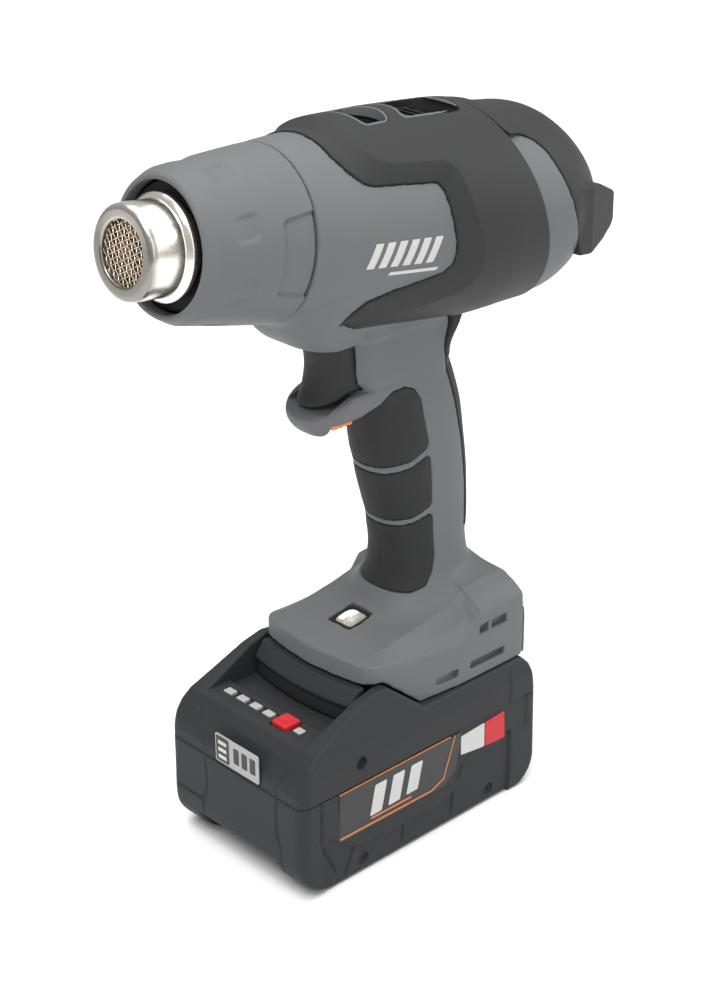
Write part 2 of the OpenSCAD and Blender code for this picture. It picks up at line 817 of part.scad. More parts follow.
module cell_holder() {
    color("dimgray") for (x = [-24, 21]) difference() {
        translate([x, -49.6, 3]) cube([3, 99.2, 38.6]);
        for (i = [-2:2], z = [12.6, 31.6]) translate([x - 1, i * 19.4, z]) rotate([0, 90, 0])
            cylinder(r = cell_r + 0.15, h = 5, $fn = 40);
    }
}

module cell_straps() {
    color("silver") for (x = [-cell_l / 2 - 0.4, cell_l / 2 + 0.1], i = [-2:2])
        translate([x, i * 19.4 - 4, 8]) cube([0.3, 8, 28]);
}

module battery_board() {
    color("darkgreen") translate([-28, -42, 46]) cube([56, 84, 1.6]);
}

module battery_contacts() {
    color("gold") for (x = [-14, -5, 5, 14], side = [-1, 1])
        translate([x + side * 1 - 0.25, 24, 64.8]) cube([0.5, 14, 6.8]);
}

module battery_screws() {
    color("silver") for (x = [-1, 1]) {
        translate([x * (side_x - 1.7), -33, 51]) rotate([0, 90, 0]) cylinder(r = 2.4, h = 0.8,
            center = true);
        for (y = low_screws) translate([x * (side_x - 1.2), y, 5]) rotate([0, 90, 0])
            cylinder(r = 2.4, h = 0.8, center = true);
    }
}

module gauge_window() {
    color("lightgray") difference() {
        translate([-25.8, -50.2, 62.6]) cube([46.8, 3.6, 1.7]);
        translate([6.2, -60, 55]) cube([10, 20, 20]);
    }
}

module gauge_button() {
    color("crimson") translate([6.9, -52.7, 61]) cube([8.6, 8.4, 4.6]);
}

release_a = 28.8;               // half its width, between the cheeks

// A bowed bar under the front of the foot, with a bore for its spring
module release_button() {
    color([0.12, 0.12, 0.13]) difference() {
        intersection() {
            side_plate([[-34, 62.4], [-34, 71], [-29, 76.8], [-22.6, 76.8],
                [-22.6, 62.4]], -release_a, release_a);
            linear_extrude(90) polygon(concat(
                [for (i = [-6:6]) let (u = i / 6) [release_a * u, -34 + 3.2 * u * u]],
                [[release_a, -22.6], [-release_a, -22.6]]
            ));
        }
        translate([0, -26.4, 67]) rotate([-90, 0, 0]) cylinder(r = 3.2, h = 10);
    }
}

module release_spring() {
    color("silver") translate([0, -25.9, 67]) rotate([-90, 0, 0]) coil(2.4, 0.35, 6.6, 4);
}

module battery_badge() {
    color("silver") translate([-10.8, -67.4, 45.4]) cube([26.6, 1.2, 12.8]);
}

module battery_labels() {
    for (x = [-1, 1]) {
        color([0.16, 0.16, 0.17]) translate([x * (side_x - 0.3) - 0.25, -47.6, 20.4]) cube([0.5, 69, 23]);
        color("crimson") translate([x * (side_x - 0.3) - 0.25, 23, 28.6]) cube([0.5, 26.5, 11.4]);
    }
}

housing_left();
housing_right();
cover_left();
cover_right();
grip_left();
grip_right();
handle_back_strip();
rear_cap();
rear_panel();
panel_board();
status_lights();
intake_grille();
nozzle_tube();
nozzle_mesh();
heat_shield();
heater_core();
heater_coils();
mica_sleeve();
heater_mount();
thermal_cutout();
temperature_sensor();
fan_housing();
motor_plate();
motor_can();
motor_end_cap();
control_board();
power_transistors();
switch_body();
trigger_spring();
worklight_lens();
worklight_board();
terminal_block();
terminal_blades();
housing_screws();
front_sleeve();
fan_impeller();
motor_shaft();
trigger();
lock_slider();
stage_button();
stage_spring();
battery_upper_shell();
battery_lower_shell();
battery_cells();
cell_holder();
cell_straps();
battery_board();
battery_contacts();
battery_screws();
gauge_window();
battery_badge();
battery_labels();
release_button();
release_spring();
gauge_button();
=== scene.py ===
"""Looks of a cordless heat gun on its slide-on battery pack.

Lengths in the shape code are millimetres in the row frame: +Z up, nozzle towards -Y, +X the user's left.
Moulded parts are distance fields, turned into meshes on a grid whose points are then pulled onto the true
surface. Turned and wire parts are built directly.
"""
import json
import math
from concurrent.futures import ThreadPoolExecutor

import bpy
import numpy as np
from mathutils import Matrix, Vector


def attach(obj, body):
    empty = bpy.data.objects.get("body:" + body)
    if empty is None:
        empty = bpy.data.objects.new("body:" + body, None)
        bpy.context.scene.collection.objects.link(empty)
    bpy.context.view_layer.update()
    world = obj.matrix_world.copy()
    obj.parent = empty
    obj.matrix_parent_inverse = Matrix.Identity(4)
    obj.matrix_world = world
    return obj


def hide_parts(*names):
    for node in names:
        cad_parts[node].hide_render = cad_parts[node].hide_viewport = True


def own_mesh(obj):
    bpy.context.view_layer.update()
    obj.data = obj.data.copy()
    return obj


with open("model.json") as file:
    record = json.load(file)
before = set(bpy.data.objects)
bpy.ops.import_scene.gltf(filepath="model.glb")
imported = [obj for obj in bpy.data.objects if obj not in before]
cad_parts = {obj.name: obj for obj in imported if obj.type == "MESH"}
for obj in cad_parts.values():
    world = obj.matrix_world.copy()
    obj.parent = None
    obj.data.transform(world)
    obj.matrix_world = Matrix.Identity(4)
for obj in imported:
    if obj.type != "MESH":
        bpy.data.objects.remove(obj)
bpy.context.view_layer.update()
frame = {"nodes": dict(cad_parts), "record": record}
MM = 0.001

# ---- barrel frame

TILT = math.radians(6.5)
NOSE = np.array([0, -106.5, 268.0])                        # centre of the nozzle's front edge
BACK = np.array([0, math.cos(TILT), -math.sin(TILT)])      # along the barrel, away from the nozzle
UP = np.array([0, math.sin(TILT), math.cos(TILT)])
LEFT = np.array([1, 0, 0])


def barrel(p):
    """Distance along the barrel, radius, and angle above the horizontal (90 is the top) of each point."""
    q = p - NOSE
    s, v = q @ BACK, q @ UP
    return s, np.hypot(q[:, 0], v), np.degrees(np.arctan2(v, np.abs(q[:, 0])))


def on_barrel(s, r, angle):
    """Row-frame point at distance s, radius r and angle from the left-hand side."""
    a = math.radians(angle)
    return NOSE + s * BACK + r * (math.cos(a) * LEFT + math.sin(a) * UP)


# ---- curves and fields


def spline(points, steps=5):
    """Catmull-Rom curve through rows of numbers, first and last included."""
    q = np.array(points, float)
    q = np.vstack([2 * q[0] - q[1], q, 2 * q[-1] - q[-2]])
    out = []
    for i in range(1, len(q) - 2):
        for t in np.arange(steps) / steps:
            a = 2 * q[i]
            b = q[i + 1] - q[i - 1]
            c = 2 * q[i - 1] - 5 * q[i] + 4 * q[i + 1] - q[i + 2]
            d = 3 * q[i] - q[i - 1] - 3 * q[i + 1] + q[i + 2]
            out.append((a + b * t + c * t * t + d * t * t * t) / 2)
    return np.array(out + [q[-2]])


def fillet(points, radius, steps=4):
    """Closed outline with its corners rounded."""
    q = [np.array(p, float) for p in points]
    out = []
    for i, p in enumerate(q):
        a, b = q[i - 1] - p, q[(i + 1) % len(q)] - p
        la, lb = np.linalg.norm(a), np.linalg.norm(b)
        cos = np.clip(a @ b / (la * lb), -0.999, 0.999)
        cut = min(radius / math.tan(math.acos(cos) / 2), 0.45 * la, 0.45 * lb)
        start, end = p + a / la * cut, p + b / lb * cut
        for t in np.arange(steps + 1) / steps:
            out.append((1 - t) ** 2 * start + 2 * t * (1 - t) * p + t * t * end)
    return np.array(out)


def near_line(u, v, points):
    """Distance to an open line of points."""
    near = np.full(u.shape, 1e9)
    for (ax, ay), (bx, by) in zip(points[:-1], points[1:]):
        ex, ey = bx - ax, by - ay
        length2 = ex * ex + ey * ey
        if length2 < 1e-12:
            continue
        wu, wv = u - ax, v - ay
        t = np.clip((wu * ex + wv * ey) / length2, 0, 1)
        near = np.minimum(near, (wu - t * ex) ** 2 + (wv - t * ey) ** 2)
    return np.sqrt(near)


def outline(u, v, points):
    """Signed distance to a closed outline, negative inside."""
    q = np.asarray(points, float)
    inside = np.zeros(u.shape, bool)
    for (ax, ay), (bx, by) in zip(q, np.roll(q, -1, 0)):
        if ay != by:
            inside ^= ((ay > v) != (by > v)) & (u - ax < (bx - ax) * (v - ay) / (by - ay))
    return np.where(inside, -1, 1) * near_line(u, v, np.vstack([q, q[:1]]))


def both(a, b, r=0.0):
    """Intersection, with its edge rounded to radius r."""
    if r <= 0:
        return np.maximum(a, b)
    return np.minimum(-r, np.maximum(a, b)) + np.hypot(np.maximum(a + r, 0), np.maximum(b + r, 0))


def either(a, b, r=0.0):
    """Union, with a fillet of radius r."""
    return -both(-a, -b, r)


def without(a, b, r=0.0):
    """The first form with the second cut out of it."""
    return both(a, -b, r)


def any_of(*fields):
    """Union of several fields, with sharp edges."""
    return np.minimum.reduce(fields)


def block(u, v, half_u, half_v, r=0.0):
    """Rounded rectangle round the origin."""
    qu, qv = np.abs(u) - half_u + r, np.abs(v) - half_v + r
    return np.hypot(np.maximum(qu, 0), np.maximum(qv, 0)) + np.minimum(np.maximum(qu, qv), 0) - r


def box(p, lo, hi, r=0.0):
    """Rounded box between two corners."""
    centre, half = (np.array(lo) + hi) / 2.0, (np.array(hi) - lo) / 2.0
    q = np.abs(p - centre) - half + r
    return np.linalg.norm(np.maximum(q, 0), axis=1) + np.minimum(q.max(1), 0) - r


def turned(s, r, points):
    """Solid of revolution, from its outer (distance, radius) curve."""
    q = np.asarray(points, float)
    return outline(s, r, np.vstack([[q[0, 0], -5], q, [q[-1, 0], -5]]))


def across(table, z, column):
    """A column of a table of sections, at height z."""
    return np.interp(z, table[:, 0], table[:, column])


def rounded_loft(p, rows):
    """Rounded rectangles stacked in z: rows are (z, half width, front, back, corner radius)."""
    z = p[:, 2]
    a, lo, hi, r = (across(rows, z, k) for k in range(1, 5))
    return block(p[:, 0], p[:, 1] - (lo + hi) / 2, a, (hi - lo) / 2, r)


def oval_loft(p, rows, power=2.4):
    """Superellipses stacked in z: rows are (z, half width, half depth, centre y)."""
    z = p[:, 2]
    a, b, centre = (across(rows, z, k) for k in range(1, 4))
    u, v = np.abs(p[:, 0]) / a + 1e-6, np.abs(p[:, 1] - centre) / b + 1e-6
    level = (u**power + v**power) ** (1 / power)
    slope = level ** (1 - power) * np.hypot(u ** (power - 1) / a, v ** (power - 1) / b)
    return (level - 1) / slope


# ---- meshing

POOL = ThreadPoolExecutor(4)
CHUNK = 24000
FAR = 60.0                                                 # distance given where a form isn't worked out
BLOCK = 8                                                  # grid points along a block that is tested as one


def evaluate(field, points):
    """The field at many points, in chunks that share the processor's cores."""
    parts = np.array_split(points, max(1, -(-len(points) // CHUNK)))
    return np.concatenate(list(POOL.map(field, parts)))


def only_where(near, form, p):
    """A form worked out only at the points near it."""
    found = np.full(len(p), FAR)
    if near.any():
        found[near] = form(p[near])
    return found


def surface_net(field, lo, hi, step):
    """Quads on the zero surface of a field between two corners."""
    lo = np.array(lo, float)
    blocks = np.ceil((np.array(hi) - lo) / (step * BLOCK)).astype(int) + 1
    counts = blocks * BLOCK
    grid = np.stack(np.meshgrid(*[np.arange(n) for n in blocks], indexing="ij"), -1).reshape(-1, 3)
    middle = evaluate(field, lo + (grid * BLOCK + (BLOCK - 1) / 2) * step)
    reach = step * BLOCK * 1.25 + 1.2                      # half a block's diagonal, with room to spare
    values = np.empty(counts, np.float32)
    view = values.reshape(blocks[0], BLOCK, blocks[1], BLOCK, blocks[2], BLOCK).transpose(0, 2, 4, 1, 3, 5)
    view[...] = np.where(middle < 0, -9, 9).reshape(tuple(blocks) + (1, 1, 1))
    local = np.stack(np.meshgrid(*[np.arange(BLOCK)] * 3, indexing="ij"), -1).reshape(-1, 3)
    busy = np.nonzero(np.abs(middle) < reach)[0]
    for chunk in np.array_split(busy, max(1, len(busy) // 500)):
        where = grid[chunk]
        points = lo + (where[:, None, :] * BLOCK + local[None]) * step
        got = evaluate(field, points.reshape(-1, 3)).astype(np.float32).reshape(-1, BLOCK, BLOCK, BLOCK)
        view[where[:, 0], where[:, 1], where[:, 2]] = got
    inside = values < 0
    count = np.zeros(counts - 1, np.uint8)
    corners = [(i, j, k) for i in (0, 1) for j in (0, 1) for k in (0, 1)]
    for i, j, k in corners:
        count += inside[i:counts[0] - 1 + i, j:counts[1] - 1 + j, k:counts[2] - 1 + k]
    cells = np.argwhere((count > 0) & (count < 8))
    index = np.full(counts - 1, -1, np.int64)
    index[tuple(cells.T)] = np.arange(len(cells))
    corner_values = np.stack([values[tuple((cells + c).T)] for c in corners], 1)
    total, crossings = np.zeros((len(cells), 3)), np.zeros(len(cells))
    for m, a in enumerate(corners):
        for n in range(m + 1, 8):
            b = corners[n]
            if sum(abs(a[i] - b[i]) for i in range(3)) != 1:
                continue
            fa, fb = corner_values[:, m], corner_values[:, n]
            cut = (fa < 0) != (fb < 0)
            t = np.where(cut, fa / np.where(cut, fa - fb, 1), 0)
            total += np.where(cut[:, None], np.array(a) + t[:, None] * (np.array(b) - a), 0)
            crossings += cut
    verts = lo + (cells + total / crossings[:, None]) * step
    quads = []
    for axis in range(3):
        first = [slice(0, n) for n in counts]
        second = list(first)
        first[axis], second[axis] = slice(0, -1), slice(1, None)
        change = inside[tuple(first)] != inside[tuple(second)]
        edges = np.argwhere(change)
        u, v = (axis + 1) % 3, (axis + 2) % 3
        ok = (edges[:, u] > 0) & (edges[:, v] > 0)
        ok &= (edges[:, u] < counts[u] - 1) & (edges[:, v] < counts[v] - 1)
        edges = edges[ok]
        ring = []
        for du, dv in ((1, 1), (0, 1), (0, 0), (1, 0)):
            cell = edges.copy()
            cell[:, u] -= du
            cell[:, v] -= dv
            ring.append(index[tuple(cell.T)])
        quad = np.stack(ring, 1)
        flip = ~inside[tuple(edges.T)]
        quad[flip] = quad[flip][:, ::-1]
        quads.append(quad)
    return verts, np.vstack(quads)


def slope_of(field, verts, reach=0.04):
    """The field's gradient, by differences over a short reach."""
    grad = np.empty_like(verts)
    for axis in range(3):
        d = np.zeros(3)
        d[axis] = reach
        grad[:, axis] = evaluate(field, verts + d) - evaluate(field, verts - d)
    return grad / (2 * reach)


def moulded(name, field, lo, hi, step):
    """A mesh of the field's surface, its points on the surface and its normals taken from the field."""
    step = step * 1
    verts, quads = surface_net(field, lo, hi, step)
    for turn in range(3):
        if turn != 1:
            grad = slope_of(field, verts)
            size2 = np.maximum((grad**2).sum(1), 0.05)
        move = -(evaluate(field, verts) / size2)[:, None] * grad
        length = np.linalg.norm(move, axis=1)
        verts += move * np.minimum(1, 0.45 * step / np.maximum(length, 1e-9))[:, None]
    grad = slope_of(field, verts, 0.12)
    grad /= np.maximum(np.linalg.norm(grad, axis=1), 1e-9)[:, None]
    return mesh_object(name, verts, quads, grad)


def mesh_object(name, verts, faces, normals=None, smooth=True):
    """An object from points in millimetres and faces that are index rows, or a list of index lists."""
    mesh = bpy.data.meshes.new(name)
    if isinstance(faces, np.ndarray):
        width = faces.shape[1]
        mesh.vertices.add(len(verts))
        mesh.vertices.foreach_set("co", (np.asarray(verts) * MM).astype(np.float32).ravel())
        mesh.loops.add(faces.size)
        mesh.loops.foreach_set("vertex_index", faces.astype(np.int32).ravel())
        mesh.polygons.add(len(faces))
        mesh.polygons.foreach_set("loop_start", np.arange(0, faces.size, width, dtype=np.int32))
    else:
        mesh.from_pydata([tuple(v) for v in np.asarray(verts) * MM], [], faces)
    mesh.update(calc_edges=True)
    mesh.validate()
    if smooth:
        mesh.polygons.foreach_set("use_smooth", [True] * len(mesh.polygons))
    if normals is not None and len(mesh.vertices) == len(normals):
        mesh.normals_split_custom_set_from_vertices([tuple(n) for n in normals])
    made = bpy.data.objects.new(name, mesh)
    bpy.context.scene.collection.objects.link(made)
    return made


def finish_piece(piece, body, slot, *nodes, look=None):
    """Gives a piece its material (the look, or else the one that the slot names), its body, and hides the CAD
    nodes that it replaces.
    """
    piece.data.materials.clear()
    piece.data.materials.append(look or LOOK[slot])
    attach(piece, body)
    if nodes:
        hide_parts(*nodes)
    return piece


def mould_piece(name, field, lo, hi, step, body, slot, *nodes, look=None):
    """A moulded mesh, finished."""
    return finish_piece(moulded(name, field, lo, hi, step), body, slot, *nodes, look=look)


# ---- forms of the housing

COVER_EDGE = np.vstack([[[76, 34.4], [80.6, 35.3]], spline([[87.8, 39.05], [92, 39.55], [104, 40.35],
                         [120, 41.3], [140, 41.85], [152, 41.9], [162, 41.3], [172, 40.4], [190, 39]])])
HOUSING_EDGE = spline([[52, 31.2], [60.8, 32.4], [67, 33.3], [76, 34.2], [100, 36], [120, 37.2], [145, 38.3],
                       [165, 38.6], [180, 38.6], [190, 38], [198, 35.6], [203, 33]])
CAP_EDGE = spline([[140, 41.6], [160, 41.3], [166, 40], [174, 39.2], [186, 38.7], [195, 36.4], [204.5, 31.6],
                   [212.5, 26.3], [219.5, 21], [226, 15.3], [231, 8.6], [233.6, 0.5]])
CAP_INSIDE = [[130, 35.8], [190, 35.8], [197, 33.4], [204.5, 28.6], [211, 23.4], [217, 17], [221, 0.2]]
HANDLE = spline([[80, 33, 34, 34.4], [88, 29, 32.4, 34.4], [94, 24.2, 28.2, 34.2], [99, 20.4, 24.4, 34.4],
                 [105, 17.6, 21.7, 34.4], [114, 16.2, 20.8, 34.2], [124, 16, 21.8, 33.8],
                 [134, 16.2, 22.8, 32.6], [146, 16.5, 24.2, 30.6], [160, 16.6, 25, 28],
                 [174, 16.2, 25.2, 25.8], [186, 15.4, 25, 22.6], [198, 14.8, 24.8, 18.8],
                 [210, 15, 25.5, 17.6], [222, 17, 33, 25]])
SADDLE = spline([[212.8, 14.5, -27.4, 42.5, 9], [217.5, 15.5, -37.2, 46.5, 10], [223, 18.5, -42.4, 53, 12],
                 [230, 23, -45, 60, 14], [240, 28.5, -47, 63, 14]])
PILLAR = np.array([[184, 13, -2, 39, 10], [196, 14.5, -11, 41.5, 8], [214, 14.5, -13.5, 43, 9]])
CHIN = spline([[174.6, 6, -18, 12, 5], [177, 10.4, -24.8, 13, 9], [180.6, 13, -28.4, 14, 11],
               [185, 14.2, -29.6, 15, 12], [190.3, 14.4, -27.6, 16, 12], [193, 13.8, -25, 16, 11.5]])
CHIN_SIDE = fillet([[-40, 184.2], [-30, 185.8], [-22, 189.2], [-13, 192.3], [20, 192.3], [20, 190.6],
                    [11, 190.2], [6.6, 189.2], [0.7, 185.3], [-7.7, 183.4], [-10, 181.4], [-14, 179.4],
                    [-19, 177.2], [-24, 176], [-40, 176]], 1.8)
FOOT_PLAN = spline([[-27, 0], [-25.9, 14], [-23.6, 26.5], [-21, 29.8], [-17, 31.9], [0, 34.4], [17, 36.2],
                    [30, 36.8], [56.5, 36.8], [60.6, 35.2], [62.2, 33], [63, 0]])
FOOT_SIDE = fillet([[-28, 77.8], [-28, 84.4], [-25.5, 87.2], [30.5, 94], [35.5, 101.6], [57, 101.6],
                    [59.5, 98], [61.5, 85], [63.6, 62.6], [2, 62.6], [-16, 77.8]], 0.8)
# Height of the foot's top at each y: on the middle line, at the shoulder, on the crest and at the side
CROWN = spline([[-28, 86.6, 85.4, 85.4, 80.6], [-20, 87.6, 86.8, 85.4, 82], [-4, 90, 88.6, 84.9, 82.1],
                [15, 92.4, 91.4, 84.6, 82.3], [24, 93.4, 92.6, 84.7, 83], [28, 94, 93.4, 86, 84.7],
                [31, 95.4, 94.8, 89.6, 87.4], [34, 99, 97.4, 94.4, 91], [37, 101.2, 98.8, 95.8, 92.6],
                [57, 101.5, 98.8, 96, 92.6], [64, 96, 94, 91, 88]])
CROWN_X = [0, 26, 31.2, 35.4]                              # half widths that CROWN's columns belong to
PADS = [fillet(pad, 3) for pad in (
    [[-24, 165.6], [-24, 184], [-7.7, 183.2], [0.7, 185], [7.1, 189], [13, 189.6], [17.8, 187.4],
     [20.6, 182.6], [22.8, 171], [24.6, 161.6], [16, 157.2], [6, 155.2], [-10, 155]],
    [[-24, 152.4], [8, 152.6], [16.4, 154.6], [25, 159], [27.2, 135.4], [18.8, 131.2], [10, 129.6],
     [-24, 129.6]],
    [[-24, 127.2], [11, 127.4], [19, 128.8], [27.4, 132.6], [28.7, 112], [26.8, 105.4], [22.8, 100.8],
     [16, 98.8], [8, 98.8], [0, 100.4], [-24, 102]])]
STRIP = fillet([[38.6, 216], [36.8, 209], [34.6, 203], [34.4, 199], [37.8, 187], [40.2, 179], [45.4, 157],
                [47.8, 138.8], [48.2, 117], [75, 117], [75, 216]], 2)
CAP_FRONT = fillet([[50.6, 302], [55.7, 281.8], [63.6, 280.4], [69.2, 277.6], [73, 273.2], [77.2, 262],
                    [90.5, 224], [98, 200], [150, 200], [150, 302]], 4)
COVER_BACK = [[-60, 304], [49.2, 304], [76.2, 200], [-60, 200]]
CONSOLE_SIDE = fillet([[80, 230], [97, 227.6], [108, 230], [116, 233.4], [119.8, 237.4], [120.2, 242.5],
                       [118.6, 247.2], [104, 254], [80, 259]], 1.2)
CONSOLE_PLAN = fillet([[36.3, 80], [34.4, 96], [27, 117], [24, 120.3], [-24, 120.3], [-27, 117], [-34.4, 96],
                       [-36.3, 80]], 1.6)
# The window in the cover, unrolled: distance along the barrel and angle, at its inner and outer edge
WINDOW = [[40, 84], [62, 79], [72, 73], [76.7, 58.5], [79.5, 46.5], [83.6, 38], [88, 35.2], [117, 32],
          [119.4, 27], [122.4, 8], [125.2, -7.6], [124.6, -17], [121, -21.5], [101, -30.5], [90, -39],
          [83, -60], [78, -100], [40, -100]]
WINDOW_OUT = [[40, 96], [77, 96], [81, 80], [84.6, 69], [87, 57], [90.5, 48], [96, 44], [120, 41.5],
              [125, 36.5], [129.8, 12.6], [136.4, -9.7], [136.8, -22], [131, -32], [108, -43], [94, -54],
              [87, -76], [84, -100], [40, -100]]
BELOW_COVER = fillet([[-70, 226.6], [-24, 226.4], [-17, 222.4], [30.5, 215.4], [35, 213.6], [41.5, 206],
                      [42.5, 150], [-70, 150]], 2.4)
TRIGGER_ROOM = 11.05
OVERLAP = 0.6                                              # how far each half passes the middle plane
PAD_DEPTH = 2.8
COVER_DEPTH = 2.6
UNROLL_R = 39.0                                            # radius at which angles turn into lengths
SLEEVE_END = 60.8                                          # where the housing starts, behind the sleeve
STAGE_Z = 239                                              # height of the stage button's middle
FOOT_SLOTS = ((10.4, 22.2, 66.6, 70.2), (29, 48.6, 67.4, 70.7), (34, 39, 81.6, 85.8), (41, 50, 81.6, 85.8))
SCREWS = [(-36, 222), (24, 232), (30, 205), (34, 122), (47, 84)]
SCREW_DEPTH = [16, 24, 13, 14, 30]
WELL_R = 2.7                                               # radius of every screw's well
SCREW_R = 2.3                                              # radius of every screw's head
PLATE = 0.15                                               # thickness of plates and printed marks
BEVEL = 0.12                                               # how far their rims are bevelled


def under_cover(p, s, r):
    """The housing's skin below the cover."""
    return either(drum(s, r), saddle(p, 1.4), 2.5) + COVER_DEPTH


def unroll(points):
    q = np.array(points, float)
    return fillet(np.column_stack([q[:, 0], np.radians(q[:, 1]) * UNROLL_R]), 3.0)


WINDOW_IN_FLAT, WINDOW_OUT_FLAT = unroll(WINDOW), unroll(WINDOW_OUT)


def side(p, points):
    return outline(p[:, 1], p[:, 2], points)


def between(value, lo, hi):
    """A slab, negative where the value lies between two limits."""
    return np.maximum(lo - value, value - hi)


def saddle(p, inset=0.0):
    return both(rounded_loft(p, SADDLE) + inset, between(p[:, 2], 212.8, 239.5) + inset, 1.6)


def handle(p):
    return both(oval_loft(p, HANDLE), between(p[:, 2], 81, 221.5))


def half_of(shape, p, half):
    """What lies on the left (1) or on the right (-1), a little past the middle plane."""
    return both(shape, -OVERLAP - half * p[:, 0])


def pillar(p):
    return both(rounded_loft(p, PILLAR), between(p[:, 2], 184.5, 224))


def chin(p):
    shape = both(rounded_loft(p, CHIN), side(p, CHIN_SIDE), 1.4)
    flank = np.maximum(np.maximum(4.6 - np.abs(p[:, 0]), -22.5 - p[:, 1]), p[:, 2] - 182.4)
    shape = without(shape, flank, 1.6)
    return both(shape, between(p[:, 2], 174.8, 192.6))


def foot(p):
    x, y, z = np.abs(p[:, 0]), p[:, 1], p[:, 2]
    levels = np.stack([np.interp(y, CROWN[:, 0], CROWN[:, k]) for k in range(1, 5)], 1)
    top = levels[:, 0]
    for k in range(3):
        t = np.clip((x - CROWN_X[k]) / (CROWN_X[k + 1] - CROWN_X[k]), 0, 1)
        top = top + (levels[:, k + 1] - levels[:, k]) * t
    top = top - 1.4 * np.maximum(x - CROWN_X[3], 0)
    slope = np.where(x > CROWN_X[1], 0.72, 0.95)
    plan = outline(y, x, np.vstack([FOOT_PLAN, [63, -5], [-27, -5]]))
    shape = both(plan, (z - top) * slope, 0.5)
    return both(shape, side(p, FOOT_SIDE), 0.4)


def drum(s, r):
    return both(turned(s, r, HOUSING_EDGE), SLEEVE_END - s, 0.7)


def skeleton(p):
    """Everything that the grey housing would be without recesses."""
    s, r, _ = barrel(p)
    z = p[:, 2]
    shape = np.where(z > 195, drum(s, r), FAR)
    shape = either(shape, only_where((z > 198) & (z < 252), saddle, p), 2.5)
    shape = either(shape, only_where((z > 66) & (z < 232), stock, p), 2)
    shape = either(shape, only_where((z > 164) & (z < 204) & (p[:, 1] < 30), chin, p), 1.2)
    return either(shape, only_where(z < 116, foot, p), 5)


def stock(p):
    return either(pillar(p), handle(p), 1.5)


def pads(p, inset=0.0):
    return any_of(*(side(p, pad) for pad in PADS)) + inset


def strip(p):
    return both(side(p, STRIP), np.abs(p[:, 0]) - 15.5, 1.5)


def window_inner(s, angle):
    return outline(s, np.radians(angle) * UNROLL_R, WINDOW_IN_FLAT)


def cover_surface(p, s, r, angle):
    """Outer skin of the cover: the barrel's, thinned towards the window, and the saddle's."""
    inner = window_inner(s, angle)
    outer = outline(s, np.radians(angle) * UNROLL_R, WINDOW_OUT_FLAT)
    share = np.clip(inner, 0, None) / np.maximum(np.clip(inner, 0, None) + np.clip(-outer, 0, None), 1e-6)
    share = np.where(outer > 0, 1, share)
    low = np.interp(s, HOUSING_EDGE[:, 0], HOUSING_EDGE[:, 1]) + 0.8
    high = np.maximum(np.interp(s, COVER_EDGE[:, 0], COVER_EDGE[:, 1]), low)
    skin = (r - low - (high - low) * share) * 0.9
    return either(skin, saddle(p), 4), inner


def cover_zone(p, s, inner):
    """Where the cover lies, seen along the surface."""
    zone = both(-inner, -side(p, BELOW_COVER), 1.0)
    zone = both(zone, side(p, COVER_BACK))
    return both(zone, 76.8 - s)


def vents(p, s):
    """The two openings in the top of the cover."""
    x, up = p[:, 0], (p - NOSE) @ UP
    bulge = 5 * (1 - np.minimum(np.abs(x) / 12.8, 1) ** 2)
    front = block(s - 103.1 - bulge / 2, x, 5.4 + bulge / 2 - 0.01, 12.2, 2)
    rear = block(s - 131.4 - bulge / 2, x, 16.2 - bulge / 2, 12.2, 4.6)
    return both(np.minimum(front, rear), 20 - up), up


def cap_zone(p):
    return side(p, CAP_FRONT)


def console(p):
    """The raised block behind the cap that holds the rear panel."""
    raised = both(side(p, CONSOLE_SIDE), outline(p[:, 0], p[:, 1], CONSOLE_PLAN), 1.4)
    return both(raised, cap_zone(p), 0.6)


def foot_slots(p):
    """Blind slots in both sides of the foot."""
    slots = [block(p[:, 1] - (y0 + y1) / 2, p[:, 2] - (z0 + z1) / 2, (y1 - y0) / 2, (z1 - z0) / 2, 0.5)
             for y0, y1, z0, z1 in FOOT_SLOTS]
    return both(any_of(*slots), 34.2 - np.abs(p[:, 0]))


def rail_room(p):
    """Room under the foot for the battery's rails."""
    y, z = p[:, 1], p[:, 2]
    x = np.abs(p[:, 0])
    length = both(between(y, -50, 58), z - np.where(y < -8, 77, 75.5))
    return np.minimum(both(length, x - 22.2), both(both(length, x - 25.4), 67.6 - z))


def worklight_axes(p):
    """Coordinates in the work light's tilted square: across, along and out."""
    tilt = math.radians(8)
    q = p - np.array([0, -3.2, 89.6])
    along = q[:, 1] * math.cos(tilt) + q[:, 2] * math.sin(tilt)
    out = -q[:, 1] * math.sin(tilt) + q[:, 2] * math.cos(tilt)
    return q[:, 0], along, out


def screw_wells(p):
    """Holes that lead to the screws, in the right-hand half only."""
    return any_of(*(both(np.hypot(p[:, 1] - y, p[:, 2] - z) - WELL_R, p[:, 0] + depth)
                    for (y, z), depth in zip(SCREWS, SCREW_DEPTH)))


